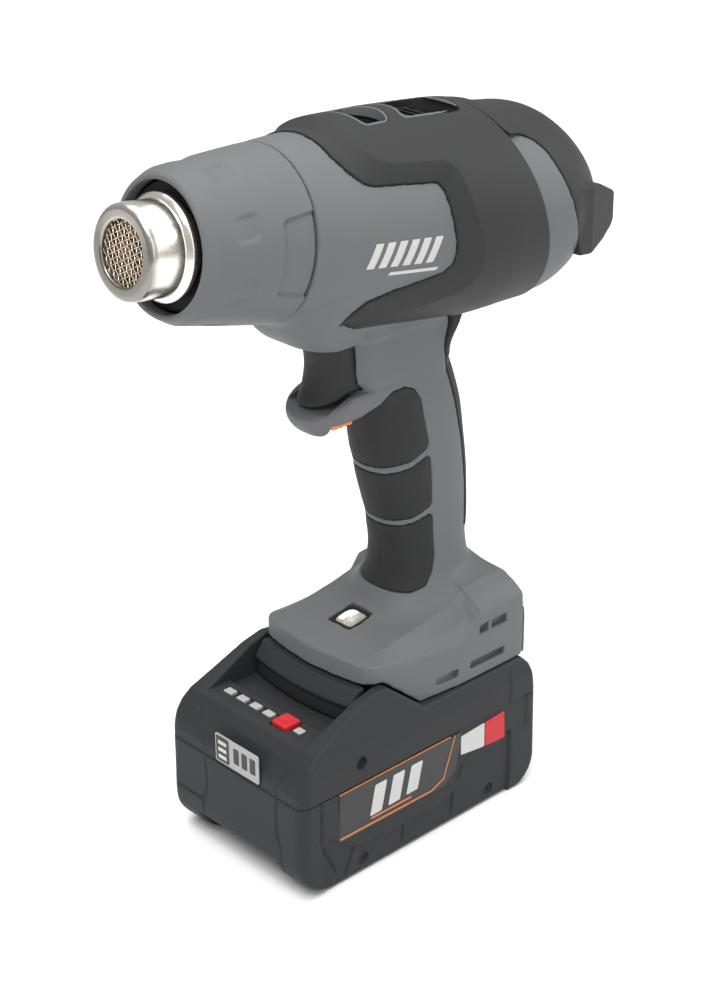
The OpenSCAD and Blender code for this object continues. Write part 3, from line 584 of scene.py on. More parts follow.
def housing(p, half):
    """One half of the grey housing: half is 1 for the left and -1 for the right."""
    z = p[:, 2]
    shape = skeleton(p)

    def upper(q):
        """What the cover, the cap, the console, the vents and the nozzle take from the barrel."""
        s, r, angle = barrel(q)
        inner = window_inner(s, angle)
        keep = either(-cover_zone(q, s, inner), under_cover(q, s, r))
        keep = both(keep, -both(cap_zone(q), either(35.6 - r, 188 - s)))
        keep = both(keep, -console(q))
        hole, up = vents(q, s)
        keep = both(keep, -both(hole - 0.6, 24 - up))
        nozzle_room = np.maximum(r - 26, s - 70)
        return -both(keep, -nozzle_room)

    def recesses(q):
        shallow = -(stock(q) + PAD_DEPTH)
        return either(both(both(pads(q), shallow), -chin(q)), both(strip(q), shallow))

    def trigger_pocket(q):
        room = box(q, (-TRIGGER_ROOM, -60, 192.6), (TRIGGER_ROOM, 13.5, 212.8))
        mouth = box(q, (-13.4, -60, 192.2), (13.4, -10.4, 213.2), 1)
        trough = box(q, (-TRIGGER_ROOM, -60, 187.6), (TRIGGER_ROOM, -9.4, 200), 0.8)
        lock_slot = box(q, (-3.9, -20, 160), (3.9, -4.2, 179.7))
        return any_of(room, mouth, trough, lock_slot)

    def foot_rooms(q):
        x, along, out = worklight_axes(q)
        lamp = both(block(x, along, 6.5, 6.5, 1.4), between(out, -3, 20))
        return any_of(foot_slots(q), rail_room(q), lamp)

    shape = without(shape, only_where(z > 190, upper, p), 0.3)
    shape = without(shape, only_where((z > 90) & (z < 216), recesses, p), 0.4)
    shape = without(shape, only_where((z > 170) & (z < 222), trigger_pocket, p), 0.5)
    shape = without(shape, only_where(z < 104, foot_rooms, p), 0.3)
    if half < 0:
        shape = without(shape, screw_wells(p), 0.4)
    return half_of(shape, p, half)


def cover(p, half):
    s, r, angle = barrel(p)
    skin, inner = cover_surface(p, s, r, angle)
    zone = cover_zone(p, s, inner)
    shape = both(skin, zone + 0.03, 0.6)
    shape = both(shape, -cap_zone(p) + 0.1, 0.4)
    hole, _ = vents(p, s)
    shape = without(shape, hole - 0.5, 0.3)
    shape = without(shape, under_cover(p, s, r) - 0.05)
    return half_of(shape, p, half)


def grip(p, half):
    body = stock(p)
    swell = np.clip(-pads(p), 0, 5) * 0.06
    shape = both(body - swell, pads(p, 0.22), 0.9)
    shape = without(shape, body + PAD_DEPTH - 0.05)
    shape = without(shape, chin(p) - 0.1)
    return half_of(shape, p, half)


def back_strip(p):
    body = either(stock(p), saddle(p), 16)
    shape = both(body - 0.35, strip(p) + 0.15, 0.8)
    shape = without(shape, either(stock(p), saddle(p), 2) + PAD_DEPTH - 0.1)
    return without(shape, saddle(p) - 0.1)


def panel_holes(p, well):
    """Holes through the rear panel: the stage button's in the middle, and a pair for lights on each side."""
    x, z = np.abs(p[:, 0]), p[:, 2] - STAGE_Z
    lights = np.hypot(np.abs(np.abs(x - 13.5) - 2), z) - 1.5
    return np.minimum(np.hypot(x, z) - well, lights)


def rear_cap(p):
    s, r, _ = barrel(p)
    dome = both(turned(s, r, CAP_EDGE), cap_zone(p), 0.6)
    shape = either(dome, console(p), 0.8)
    shape = without(shape, turned(s, r, CAP_INSIDE))
    panel = box(p, (-21, 118.6, 233.4), (21, 130, 244.4), 1)
    back = box(p, (-20, 107.6, 232.5), (20, 114.7, 245.5))
    through = both(panel_holes(p, 5.9), between(p[:, 1], 110, 130))
    return without(shape, any_of(panel, back, through), 0.3)


# ---- small moulded parts

SLEEVE_EDGE = [[21 + 39.2 * u, 27.6 + 4.8 * (1 - (1 - u) ** 1.15)] for u in np.linspace(0, 1, 9)]
SLEEVE_SKIN = [[16, 24.6], [16.9, 25.6], [18.8, 26.5]] + SLEEVE_EDGE
SLEEVE_BORE = [[10, 23.2], [20.8, 23.2], [23, 24.6], [28, 25.8], [38, 27.2], [47.4, 28.4], [64, 28.4]]


def step_in(distance, width):
    """0 outside an outline, 1 at more than width inside it."""
    t = np.clip(-distance / width, 0, 1)
    return t * t * (3 - 2 * t)


def sleeve(p):
    """The front sleeve: eight soft dents round it, and a long recess on each side up to its back edge."""
    q = p - NOSE
    s, v = q @ BACK, q @ UP
    r = np.hypot(q[:, 0], v)
    angle = np.degrees(np.arctan2(v, q[:, 0]))
    turn = (angle - 22 + 22.5) % 45 - 22.5
    lean = (s - 32) * 0.12
    dent = block(s - 32, np.radians(turn) * 29.6 - lean, 5.7, 5.4, 2.6)
    away = np.minimum(np.abs(angle + 2), 360 - np.abs(angle + 2))
    folded = np.minimum(away, np.abs(180 - away))
    widen = np.interp(s, [44, 62], [0.9, 1.06])
    pocket = block(s - 56.6, np.radians(folded) * 31.6 / widen, 10.2, 15.6, 2.4)
    depth = 0.9 * step_in(dent, 2.2) * np.clip((s - 25) / 7, 0.2, 1) + 1.2 * step_in(pocket, 0.8)
    shape = both(turned(s, r + depth, SLEEVE_SKIN), s - 60.2, 0.6) * 0.93
    return without(shape, turned(s, r, SLEEVE_BORE), 0.5)


def trigger(p):
    x, y, z = p[:, 0], p[:, 1], p[:, 2]
    front = np.interp(z, TRIGGER_FRONT[:, 0], TRIGGER_FRONT[:, 1])
    bow = 8.6 * (np.abs(x) / 10.7) ** 2.4
    shape = (front + bow - y) * 0.8
    shape = both(shape, both(np.abs(x) - 10.7, y - 5.5), 1.2)
    foot_line = np.interp(y, [-28, -22, -16, -15], [188.3, 189.9, 192.2, 193])
    shape = both(shape, np.maximum((foot_line - z) * 0.85, z - 212.4), 0.8)
    return without(shape, both(np.hypot(x, z - 203) - 5.2, 1.5 - y))


TRIGGER_FRONT = spline([[187, -27], [190, -26.4], [193, -25], [196, -23.8], [200, -22.9], [204, -22.6],
                        [208.6, -23.1], [213, -23.9]])


def lock_slider(p):
    thumb = box(p, (-3.9, -15, 175.9), (3.9, -4.6, 179.3), 0.8)
    ribs = 0.25 * (np.sin(p[:, 1] * 2.6) > 0.2) * (p[:, 2] < 176.6)
    return np.minimum(thumb + ribs * 0.8, box(p, (-2, -11.8, 178.6), (2, -6.4, 185), 0.3))


def stage_button(p):
    r, y = np.hypot(p[:, 0], p[:, 2] - STAGE_Z), p[:, 1]
    dish = 0.5 * np.clip(1 - (r / 4) ** 2, 0, 1)
    cap = both(r - 5.5, between(y, 113.2, 120.6 - dish), 0.7)
    return np.minimum(cap, both(r - 6.2, between(y, 113.2, 114.4), 0.2))


def rear_panel(p):
    return without(box(p, (-20.8, 118.7, 233.6), (20.8, 119.9, 244.2), 0.3), panel_holes(p, 5.85), 0.2)


def intake_rims(p):
    """Thin edging round both openings, which also borders the bowed rib between them."""
    s, r, _ = barrel(p)
    hole, _ = vents(p, s)
    skin = np.interp(s, COVER_EDGE[:, 0], COVER_EDGE[:, 1])
    return both(both(hole - 0.4, -(hole + 0.75)), np.maximum(r - skin + 0.02, skin - 7 - r), 0.25)


def intake_louvres(p):
    s, up = (p - NOSE) @ BACK, (p - NOSE) @ UP
    lean = (37 - up) * 0.45
    blades = [both(np.abs(s - centre - lean) - 0.6, between(up, 32, 36.8), 0.2)
              for centre in (101, 104.8, 118, 122.6, 127.2, 131.8, 136.4, 141)]
    rails = both(np.abs(np.abs(p[:, 0]) - 12) - 0.5, both(between(up, 31, 36.9), between(s, 97.4, 148.6)))
    return both(any_of(rails, *blades), both(np.abs(p[:, 0]) - 12.5, between(s, 97.2, 148.8)))


def worklight_bezel(p):
    x, along, out = worklight_axes(p)
    ring = both(block(x, along, 6.3, 6.3, 1.3), -block(x, along, 5.4, 5.4, 1.6))
    return both(ring, between(out, -2.6, 0.1), 0.2)


def worklight_lens(p):
    x, along, out = worklight_axes(p)
    dome = np.linalg.norm(np.stack([x, along, out + 15.4], 1), axis=1) - 16
    lens = both(block(x, along, 5.35, 5.35, 1.5), np.hypot(x, along) - 6.4, 0.3)
    return both(both(lens, dome, 0.3), -1.2 - out)


def worklight_reflector(p):
    """A square dish under the lens, with the lamp's dome in its middle."""
    x, along, out = worklight_axes(p)
    r = np.hypot(x, along)
    dish = both(block(x, along, 5.4, 5.4, 1), between(out, -2.9, -1.4))
    return without(dish, np.hypot(r, out + 0.2) - 2.2)


def worklight_lamp(p):
    x, along, out = worklight_axes(p)
    return both(np.hypot(np.hypot(x, along), out + 2.8) - 1.7, -2.6 - out)


# ---- battery

LOWER = spline([[0, 38.5, -51, 56, 4], [1.4, 39.6, -55.6, 60.4, 4], [5.4, 40.2, -61.4, 64.4, 4],
                [11, 40.5, -65.6, 66.6, 4.2], [18, 40.5, -67, 67, 4.6], [30, 40.4, -67, 67, 4.8],
                [44, 40.2, -67, 67, 4.8]], 4)
UPPER = np.array([[44.15, 40.2, -67, 67, 4.8], [54, 40.1, -67, 67, 5.4], [60, 39, -67, 67, 6.4],
                  [64, 38, -67, 67, 7], [82, 34.6, -65, 67, 8]])
UPPER_SIDE = fillet([[-67.2, 40], [-67, 48.4], [-61.4, 59], [-57, 63.4], [-46, 68.2], [-31, 75],
                     [-21.5, 77.4], [-16, 76.6], [1.6, 62.1], [58.4, 62.1], [62.4, 58], [65, 52],
                     [66.4, 47], [67, 44], [67, 40]], 1.6)
NOSE_SIDE = fillet([[-80, 63.9], [-80, 90], [-19, 90], [-19, 61.6], [-41, 61.6], [-43, 63.9]], 0.6)
CAVITY = fillet([[-64, 40], [-64, 50], [-55, 59], [60, 59], [64, 50], [64, 40]], 2)
# Groove that parts the lower shell's side from its base pad, seen from the side
PAD_LINE = [[-53.4, 25.5], [-41.8, 17], [-19.8, 14.3], [-11.9, 13.9], [11.1, 14.3], [15.8, 17], [20.3, 26.7],
            [46.7, 28.7], [52, 34.2], [51, 50]]
CASE_SCREWS = [(-35, 52.5), (-34, 7), (38, 6.8)]


def grooves(u, v, width, depth, *lines):
    """How deep the skin is cut along some lines."""
    distance = any_of(*(near_line(u, v, line) for line in lines))
    return depth * np.clip(1 - distance / width, 0, 1)


def case_screw_wells(p, number):
    y, z = CASE_SCREWS[number]
    return both(np.hypot(p[:, 1] - y, p[:, 2] - z) - WELL_R, 38.1 - np.abs(p[:, 0]))


def battery_lower(p):
    x, y, z = np.abs(p[:, 0]), p[:, 1], p[:, 2]
    shape = both(rounded_loft(p, LOWER), between(z, 0, 43.96), 0.3)
    on_side, on_front = x > 36, y < -60
    # Raised side above a drooping line; the base pad below it stands back a little
    below = np.interp(y, [q[0] for q in PAD_LINE[:-1]], [q[1] for q in PAD_LINE[:-1]]) - z
    pad = np.clip(below / 0.9, 0, 1) * (y < 50) * (y > -56)
    shape = shape + np.where(on_side, 1.1 * pad, 0)
    lines = grooves(y, z, 0.9, 0.9, [[-11.9, 14.2], [-12.6, 5]], [[16, 15], [16, 4.6]],
                    [[-39.6, 15.4], [-43.5, 4.4]], [[-56.5, 43], [-57, 24], [-49, 8]])
    shape = shape + np.where(on_side, lines, 0)
    recess = outline(y, z, LABEL_ROOM)
    shape = shape + np.where(on_side, 0.45 * step_in(recess, 0.5), 0)
    # Front: a raised middle panel over an undercut
    panel = grooves(p[:, 0], z, 0.9, 0.7, [[-17.4, 44], [-17.4, 27], [-20, 22], [-20, 13]],
                    [[25.2, 44], [25.2, 27], [27.6, 22], [27.6, 13]], [[-36, 22], [-20, 22]])
    shape = shape + np.where(on_front, panel, 0)
    under = both(side(p, [[-72, -3], [-72, 14.5], [-66.8, 13.5], [-62, 9.8], [-56, 5], [-47, -3]]), x - 23)
    shape = without(shape, under, 1.8)
    # A lip inside the joint, so that it reads as a shallow line
    lip = both(rounded_loft(p, LOWER) + 0.6, between(z, 40, 45.2))
    shape = np.minimum(shape, lip)
    for number in (1, 2):
        shape = without(shape, case_screw_wells(p, number), 0.4)
    return without(shape, both(both(x - 35.1, between(y, -52, 52)), 2.4 - z))


LABEL_ROOM = fillet([[-47.8, 20.2], [-47.8, 43.6], [-51, 47], [60, 47], [60, 30], [23, 28], [21, 20.2]], 1)


def battery_upper(p):
    x, y, z = np.abs(p[:, 0]), p[:, 1], p[:, 2]
    cheek = both(both(rounded_loft(p, UPPER), side(p, UPPER_SIDE), 1.6), 44.02 - z, 0.2)
    cheek = cheek + np.where(x > 35, grooves(y, z, 0.8, 0.6, [[49.2, 44], [49.6, 58]]), 0)
    lines = grooves(p[:, 0], z, 0.9, 0.6, [[-17.4, 43], [-17.4, 47], [-30, 63]],
                    [[25.2, 43], [25.2, 47], [28, 57]])
    cheek = cheek + np.where((y < -50) & (z < 60), lines, 0)
    nose = both(side(p, NOSE_SIDE), x - 29.4 - 0.1 * (z - 64))
    shape = without(cheek, nose, 1.0)
    rail_foot = both(box(p, (-21.5, -19, 58), (21.5, 43, 69), 0.5), 60 - z)
    rail_head = box(p, (-24.8, -19, 68.1), (24.8, 43, 73), 0.7)
    shape = any_of(shape, rail_foot, rail_head)
    for centre in (-14, -5, 5, 14):
        slot = box(p, (centre - 1.6, 20, 64.4), (centre + 1.6, 45, 72), 0.2)
        shape = without(shape, slot, 0.3)
    gauge_slot = box(p, (-26, -50.4, 62.6), (21.2, -46.4, 66), 0.3)
    gauge_well = box(p, (6.6, -53, 58.5), (15.8, -44, 68), 0.4)
    badge_recess = box(p, (-11, -70, 45), (16, -66, 58.4), 0.5)
    shape = without(shape, gauge_slot, 0.25)
    for cut in (gauge_well, badge_recess):
        shape = without(shape, cut, 0.3)
    shape = without(shape, case_screw_wells(p, 0), 0.4)
    return without(shape, both(side(p, CAVITY), x - 36.4))


RELEASE_SIDE = fillet([[-34, 62.4], [-34, 70.6], [-29, 76.8], [-22.6, 76.8], [-22.6, 62.4]], 0.8)


def release_button(p):
    """A bowed bar: a steep face for the fingertips under a hood that meets the foot."""
    x, z = p[:, 0], p[:, 2]
    bow = 3.2 * (x / 28.8) ** 2
    q = p.copy()
    q[:, 1] -= np.where(p[:, 1] < -26, bow, 0)
    q[:, 1] -= 1.3 * np.clip((71.5 - z) / 3, 0, 1) * (p[:, 1] < -26)
    shape = both(side(q, RELEASE_SIDE), np.abs(x) - 28.8, 1.2) * 0.9
    return without(shape, both(np.hypot(x, z - 67) - 3.2, -26.4 - p[:, 1]))


def gauge_button(p):
    x, y, z = p[:, 0], p[:, 1], p[:, 2]
    dish = 0.35 * np.clip(1 - np.hypot((x - 11.2) / 3.6, (y + 48.5) / 3.4) ** 2, 0, 1)
    return both(both(box(p, (6.9, -52.7, 58), (15.5, -44.3, 65.6), 1), z + dish - 65.6, 0.4), 61 - z)


def gauge_strip(p):
    """Five separate light bars, the last one beyond the button."""
    spans = [(16.8, 20.9)] + [(-25.4 + 7.9 * k, -20.5 + 7.9 * k) for k in range(4)]
    return any_of(*(box(p, (left, -50.2, 62.4), (right, -46.6, 63.95), 0.25) for left, right in spans))


def flat_plate(name, corners, radius, origin, right, up, out):
    """A thin plate with a bevelled rim: its outline lies on right and up, and it stands out by PLATE."""
    rim = fillet(corners, radius) if radius else np.array(corners, float)
    area = sum(a[0] * b[1] - b[0] * a[1] for a, b in zip(rim, np.roll(rim, -1, 0)))
    if area < 0:
        rim = rim[::-1]
    middle = rim.mean(0)
    reach = np.maximum(np.linalg.norm(rim - middle, axis=1), 1)
    inner = middle + (rim - middle) * (1 - BEVEL / reach)[:, None]
    place, a, b, c = (np.array(v, float) for v in (origin, right, up, out))
    rows = [(rim, -0.3), (rim, PLATE - 0.1), (inner, PLATE)]
    verts = np.vstack([place + q[:, :1] * a + q[:, 1:] * b + h * c for q, h in rows])
    n = len(rim)
    faces = [list(range(2 * n, 3 * n)), list(range(n))[::-1]]
    for layer in (0, n):
        for i in range(n):
            j = (i + 1) % n
            faces.append([layer + i, layer + j, layer + n + j, layer + n + i])
    if np.dot(np.cross(a, b), c) < 0:
        faces = [face[::-1] for face in faces]
    return mesh_object(name, verts, faces, smooth=False)


# ---- turned, woven and wrapped parts

NOZZLE = [[61.6, 21], [60.4, 21], [60.4, 17], [19.8, 17], [19.2, 17.8], [18.4, 19], [17.2, 19.4], [16, 19.2],
          [15, 18.1], [14.4, 17], [2.6, 17], [1.2, 16.7], [0.35, 15.9], [0, 14.8], [0, 12.3], [0.3, 11.6],
          [1, 11.4], [1.3, 11.9], [1.1, 14.2], [1.6, 15.2], [2.9, 16], [61.6, 16]]


def barrel_lathe(name, points, segments=144):
    """A ring turned round the barrel's axis from a closed (distance, radius) outline."""
    q = np.asarray(points, float)
    turn = np.arange(segments) / segments * 2 * math.pi
    spokes = np.outer(np.cos(turn), LEFT) + np.outer(np.sin(turn), UP)
    verts = NOSE + q[None, :, :1] * BACK + q[None, :, 1:] * spokes[:, None]
    n = len(q)
    here = (np.arange(segments)[:, None] * n + np.arange(n)).ravel()
    on = (np.arange(segments)[:, None] * n + (np.arange(n) + 1) % n).ravel()
    faces = np.stack([here, on, (on + n) % (segments * n), (here + n) % (segments * n)], 1)
    return mesh_object(name, verts.reshape(-1, 3), faces)


def tube(path, radius, sides=6):
    """Vertices and faces of a round wire along a path, with closed ends."""
    path = np.asarray(path, float)
    tangent = np.gradient(path, axis=0)
    tangent /= np.linalg.norm(tangent, axis=1)[:, None]
    beside = np.cross(tangent, BACK)
    beside /= np.linalg.norm(beside, axis=1)[:, None]
    over = np.cross(tangent, beside)
    turn = (np.arange(sides) / sides * 2 * math.pi)[:, None]
    rings = path[:, None] + radius * (beside[:, None] * np.cos(turn) + over[:, None] * np.sin(turn))
    faces = []
    for i in range(len(path) - 1):
        for j in range(sides):
            k = (j + 1) % sides
            faces.append([i * sides + j, i * sides + k, (i + 1) * sides + k, (i + 1) * sides + j])
    faces.append(list(range(sides))[::-1])
    faces.append([(len(path) - 1) * sides + j for j in range(sides)])
    return rings.reshape(-1, 3), faces


def wires(name, paths, radius, sides=6):
    verts, faces, count = [], [], 0
    for path in paths:
        v, f = tube(path, radius, sides)
        verts.append(v)
        faces += [[i + count for i in face] for face in f]
        count += len(v)
    return mesh_object(name, np.vstack(verts), faces)


def woven_mesh():
    """Two sets of crimped wires that pass over and under each other in the nozzle's mouth."""
    pitch, reach, lean, crimp, wire = 1.95, 12.6, math.radians(28), 0.24, 0.23
    centre = NOSE + 2.3 * BACK
    paths = []
    for phase in (0, 1):
        direction = lean + phase * math.pi / 2
        along = math.cos(direction) * LEFT + math.sin(direction) * UP
        aside = -math.sin(direction) * LEFT + math.cos(direction) * UP
        for k in range(-6, 7):
            half = math.sqrt(max(reach**2 - (k * pitch) ** 2, 0))
            t = np.linspace(-half, half, max(int(half * 2 / pitch * 4), 4))
            wave = crimp * np.cos(math.pi * (t / pitch + k + phase))
            paths.append(centre + t[:, None] * along + k * pitch * aside + wave[:, None] * BACK)
    return wires("nozzle_weave", paths, wire)


def heater_element():
    """Close turns of heating wire wound on the ceramic core, seen through the mesh."""
    coil_r, wire, turns, rise = 2.9, 0.34, 5, 0.62
    t = np.linspace(0, turns * 2 * math.pi, 90)
    depth = 4.4 + t / (2 * math.pi) * rise
    coil = depth[:, None] * BACK + coil_r * (np.cos(t)[:, None] * LEFT + np.sin(t)[:, None] * UP)
    middles = [on_barrel(0, 8.2, 60 * k) for k in range(6)] + [NOSE]
    return wires("heater_front_coils", [middle + coil for middle in middles], wire)


def wrapped_bar(name, s0, s1, low, high, slant, half):
    """A flat printed bar on the window: from s0 to s1, between two angles, leaning by slant."""
    rows, columns = 7, 5
    verts = []
    for layer in (0.16, -0.1):
        for i in range(rows):
            v = i / (rows - 1)
            for j in range(columns):
                s = s0 + (s1 - s0) * j / (columns - 1) + slant * (v - 0.5)
                r = float(np.interp(s, HOUSING_EDGE[:, 0], HOUSING_EDGE[:, 1])) + layer
                point = on_barrel(s, r, low + (high - low) * v)
                verts.append(point * np.array([half, 1, 1]))
    faces = []
    n = rows * columns
    for i in range(rows - 1):
        for j in range(columns - 1):
            a = i * columns + j
            faces.append([a, a + 1, a + columns + 1, a + columns])
            faces.append([n + a + columns, n + a + columns + 1, n + a + 1, n + a])
    rim = list(range(columns)) + [i * columns + columns - 1 for i in range(1, rows)]
    rim += [(rows - 1) * columns + j for j in range(columns - 2, -1, -1)]
    rim += [i * columns for i in range(rows - 2, 0, -1)]
    for a, b in zip(rim, rim[1:] + rim[:1]):
        faces.append([b, a, n + a, n + b])
    if half < 0:
        faces = [f[::-1] for f in faces]
    return mesh_object(name, verts, faces, smooth=False)


def socket_screw(centre, axis, depth, name):
    """A pan head with a six-lobed drive."""
    r = SCREW_R
    axis = np.array(axis, float)
    up = np.array([0, 0, 1.0])
    other = np.cross(axis, up)

    def field(p):
        q = p - np.array(centre)
        out = q @ axis
        radius = np.hypot(q @ other, q @ up)
        turn = np.arctan2(q @ up, q @ other)
        head = both(radius - r, between(out, -depth, -0.09 * radius), 0.3)
        lobe = radius - r * 0.42 * (1 + 0.16 * np.cos(6 * turn))
        return without(head, both(lobe, -depth * 0.75 - out), 0.1)

    lo, hi = np.array(centre) - r - depth - 0.6, np.array(centre) + r + depth + 0.6
    return moulded(name, field, lo, hi, 0.34)


# ---- materials


def new_material(name):
    material = bpy.data.materials.new(name)
    material.use_nodes = True
    nodes = material.node_tree.nodes
    return material, nodes, material.node_tree.links, nodes["Principled BSDF"]


def object_space(nodes):
    return nodes.new("ShaderNodeTexCoord").outputs["Object"]


def noise(nodes, links, where, scale, detail=3.0):
    made = nodes.new("ShaderNodeTexNoise")
    made.inputs["Scale"].default_value = scale
    made.inputs["Detail"].default_value = detail
    links.new(where, made.inputs["Vector"])
    return made


def ramp(nodes, links, value, low, high, dark, light):
    made = nodes.new("ShaderNodeMapRange")
    made.inputs["From Min"].default_value = low
    made.inputs["From Max"].default_value = high
    made.inputs["To Min"].default_value = dark
    made.inputs["To Max"].default_value = light
    links.new(value, made.inputs["Value"])
    return made.outputs["Result"]


def noise_ramp(nodes, links, pattern, dark, light):
    """The middle of a noise's values, stretched between two limits."""
    return ramp(nodes, links, pattern.outputs["Fac"], 0.3, 0.7, dark, light)


def raise_grain(nodes, links, pattern, shader, strength, distance):
    bump = nodes.new("ShaderNodeBump")
    bump.inputs["Strength"].default_value = strength
    bump.inputs["Distance"].default_value = distance
    links.new(pattern.outputs["Fac"], bump.inputs["Height"])
    links.new(bump.outputs["Normal"], shader.inputs["Normal"])


def tint(nodes, links, rgb, factor):
    """A colour made lighter or darker by a factor that varies."""
    made = nodes.new("ShaderNodeVectorMath")
    made.operation = "SCALE"
    made.inputs[0].default_value = rgb
    links.new(factor, made.inputs["Scale"])
    return made.outputs["Vector"]


ROUGH_VARY = 0.05
BLOTCH = 22                                                # scale of the slow unevenness in colour


def surface(name, rgb, rough, grain, relief, vary, metallic=0.0, specular=0.5):
    """Moulded or metal surface: fine relief, a little unevenness in colour and in roughness."""
    material, nodes, links, shader = new_material(name)
    where = object_space(nodes)
    broad = noise(nodes, links, where, BLOTCH)
    links.new(tint(nodes, links, rgb, noise_ramp(nodes, links, broad, 1 - vary, 1 + vary)),
              shader.inputs["Base Color"])
    fine = noise(nodes, links, where, grain, 2)
    links.new(noise_ramp(nodes, links, fine, rough - ROUGH_VARY, rough + ROUGH_VARY),
              shader.inputs["Roughness"])
    shader.inputs["Metallic"].default_value = metallic
    shader.inputs["Specular IOR Level"].default_value = specular
    if relief:
        raise_grain(nodes, links, fine, shader, 0.35, relief)
    return material


def grey_plastic():
    return surface("grey moulding", (0.114, 0.118, 0.1215), 0.55, 2600, 0.00004, 0.02, specular=0.3)


def black_plastic():
    return surface("black moulding", (0.0245, 0.025, 0.0255), 0.6, 2600, 0.00005, 0.03, specular=0.22)


def soft_grip():
    return surface("soft grip", (0.0195, 0.02, 0.021), 0.66, 3200, 0.00006, 0.05, specular=0.25)


def dark_trim():
    return surface("dark trim", (0.012, 0.013, 0.015), 0.6, 1800, 0.00002, 0.06, specular=0.3)


def battery_black():
    return surface("battery case", (0.0225, 0.024, 0.026), 0.6, 3000, 0.00006, 0.04, specular=0.22)


def circuit_board():
    return surface("circuit board", (0.02, 0.12, 0.05), 0.35, 400, 0.00002, 0.15)


def light_pipe():
    material = surface("frosted light strip", (0.38, 0.38, 0.375), 0.35, 900, 0.0, 0.03)
    shader = material.node_tree.nodes["Principled BSDF"]
    shader.inputs["Subsurface Weight"].default_value = 0.15
    shader.inputs["Subsurface Scale"].default_value = 0.002
    return material


def steel():
    """Polished steel, warm from heat, with a faint uneven relief."""
    material, nodes, links, shader = new_material("nozzle steel")
    where = object_space(nodes)
    broad = noise(nodes, links, where, 45)
    split = nodes.new("ShaderNodeSeparateXYZ")
    links.new(where, split.inputs["Vector"])
    # Painted dark reflection: the first few millimetres of the nozzle's front end are darkened in colour, to
    # stand for the dark reflection on its front face.
    painted_dark_reflection = ramp(nodes, links, split.outputs["Y"], NOSE[1] * MM + 0.0004, NOSE[1] * MM + 0.0034, 0.3, 1.0)
    uneven = nodes.new("ShaderNodeMath")
    uneven.operation = "MULTIPLY"
    links.new(painted_dark_reflection, uneven.inputs[0])
    links.new(noise_ramp(nodes, links, broad, 0.93, 1.04), uneven.inputs[1])
    links.new(tint(nodes, links, (0.88, 0.84, 0.755), uneven.outputs["Value"]), shader.inputs["Base Color"])
    fine = noise(nodes, links, where, 700, 2)
    links.new(noise_ramp(nodes, links, fine, 0.17, 0.27), shader.inputs["Roughness"])
    shader.inputs["Metallic"].default_value = 1.0
    raise_grain(nodes, links, broad, shader, 0.12, 0.0001)
    return material


def wire_steel():
    return surface("mesh wire", (0.78, 0.72, 0.62), 0.24, 800, 0.0, 0.1, metallic=1.0)


def ceramic():
    return surface("fired ceramic", (0.17, 0.095, 0.045), 0.7, 600, 0.0001, 0.15, specular=0.3)


def resistance_wire():
    return surface("heating wire", (0.6, 0.37, 0.18), 0.4, 500, 0.0, 0.2, metallic=0.85)


def mica():
    return surface("mica", (0.45, 0.36, 0.2), 0.3, 120, 0.0001, 0.25)


def plated():
    return surface("zinc plate", (0.46, 0.46, 0.47), 0.36, 500, 0.0, 0.08, metallic=1.0)


def spring_steel():
    return surface("spring wire", (0.5, 0.5, 0.52), 0.3, 500, 0.0, 0.05, metallic=1.0)


def contact_metal():
    return surface("contacts", (0.78, 0.6, 0.3), 0.3, 300, 0.0, 0.06, metallic=1.0)


def orange_plastic():
    return surface("orange moulding", (0.82, 0.235, 0.035), 0.42, 1500, 0.00003, 0.03)


def red_plastic():
    return surface("red moulding", (0.5, 0.018, 0.026), 0.42, 1500, 0.00002, 0.03, specular=0.25)


def cell_wrap():
    return surface("cell wrap", (0.07, 0.2, 0.34), 0.32, 300, 0.0, 0.05)


def plate_silver():
    return surface("silver plate", (0.33, 0.33, 0.335), 0.4, 900, 0.0, 0.03, metallic=0.3)


def label_dark():
    return surface("dark label", (0.017, 0.017, 0.0175), 0.5, 1200, 0.0, 0.03)


def label_white():
    return surface("white print", (0.5, 0.5, 0.49), 0.45, 900, 0.0, 0.02)


def label_orange():
    return surface("orange print", (0.52, 0.16, 0.035), 0.45, 900, 0.0, 0.02)


def case_screw_metal():
    return surface("blackened screw", (0.01, 0.01, 0.0105), 0.5, 600, 0.0, 0.08, specular=0.3)


def clear_lens():
    material, nodes, links, shader = new_material("lens")
    where = object_space(nodes)
    fine = noise(nodes, links, where, 300)
    links.new(noise_ramp(nodes, links, fine, 0.03, 0.08), shader.inputs["Roughness"])
    shader.inputs["Base Color"].default_value = (0.96, 0.96, 0.93, 1)
    shader.inputs["Transmission Weight"].default_value = 0.92
    shader.inputs["IOR"].default_value = 1.45
    return material


def reflector():
    return surface("reflector", (0.85, 0.85, 0.82), 0.18, 300, 0.0, 0.05, metallic=0.9)


def lamp_yellow():
    return surface("lamp", (0.95, 0.88, 0.55), 0.4, 500, 0.0, 0.04)


# The material slots of the row's CAD nodes have the same names as the functions that make them
LOOK = {make.__name__: make() for make in (
    grey_plastic, black_plastic, soft_grip, dark_trim, circuit_board, light_pipe, steel, ceramic,
    resistance_wire, mica, plated, spring_steel, clear_lens, contact_metal, orange_plastic, battery_black,
    cell_wrap, plate_silver, label_dark, red_plastic)}
PRINT_WHITE, PRINT_ORANGE = label_white(), label_orange()

# ---- the pieces

HALVES = ((1, "left"), (-1, "right"))

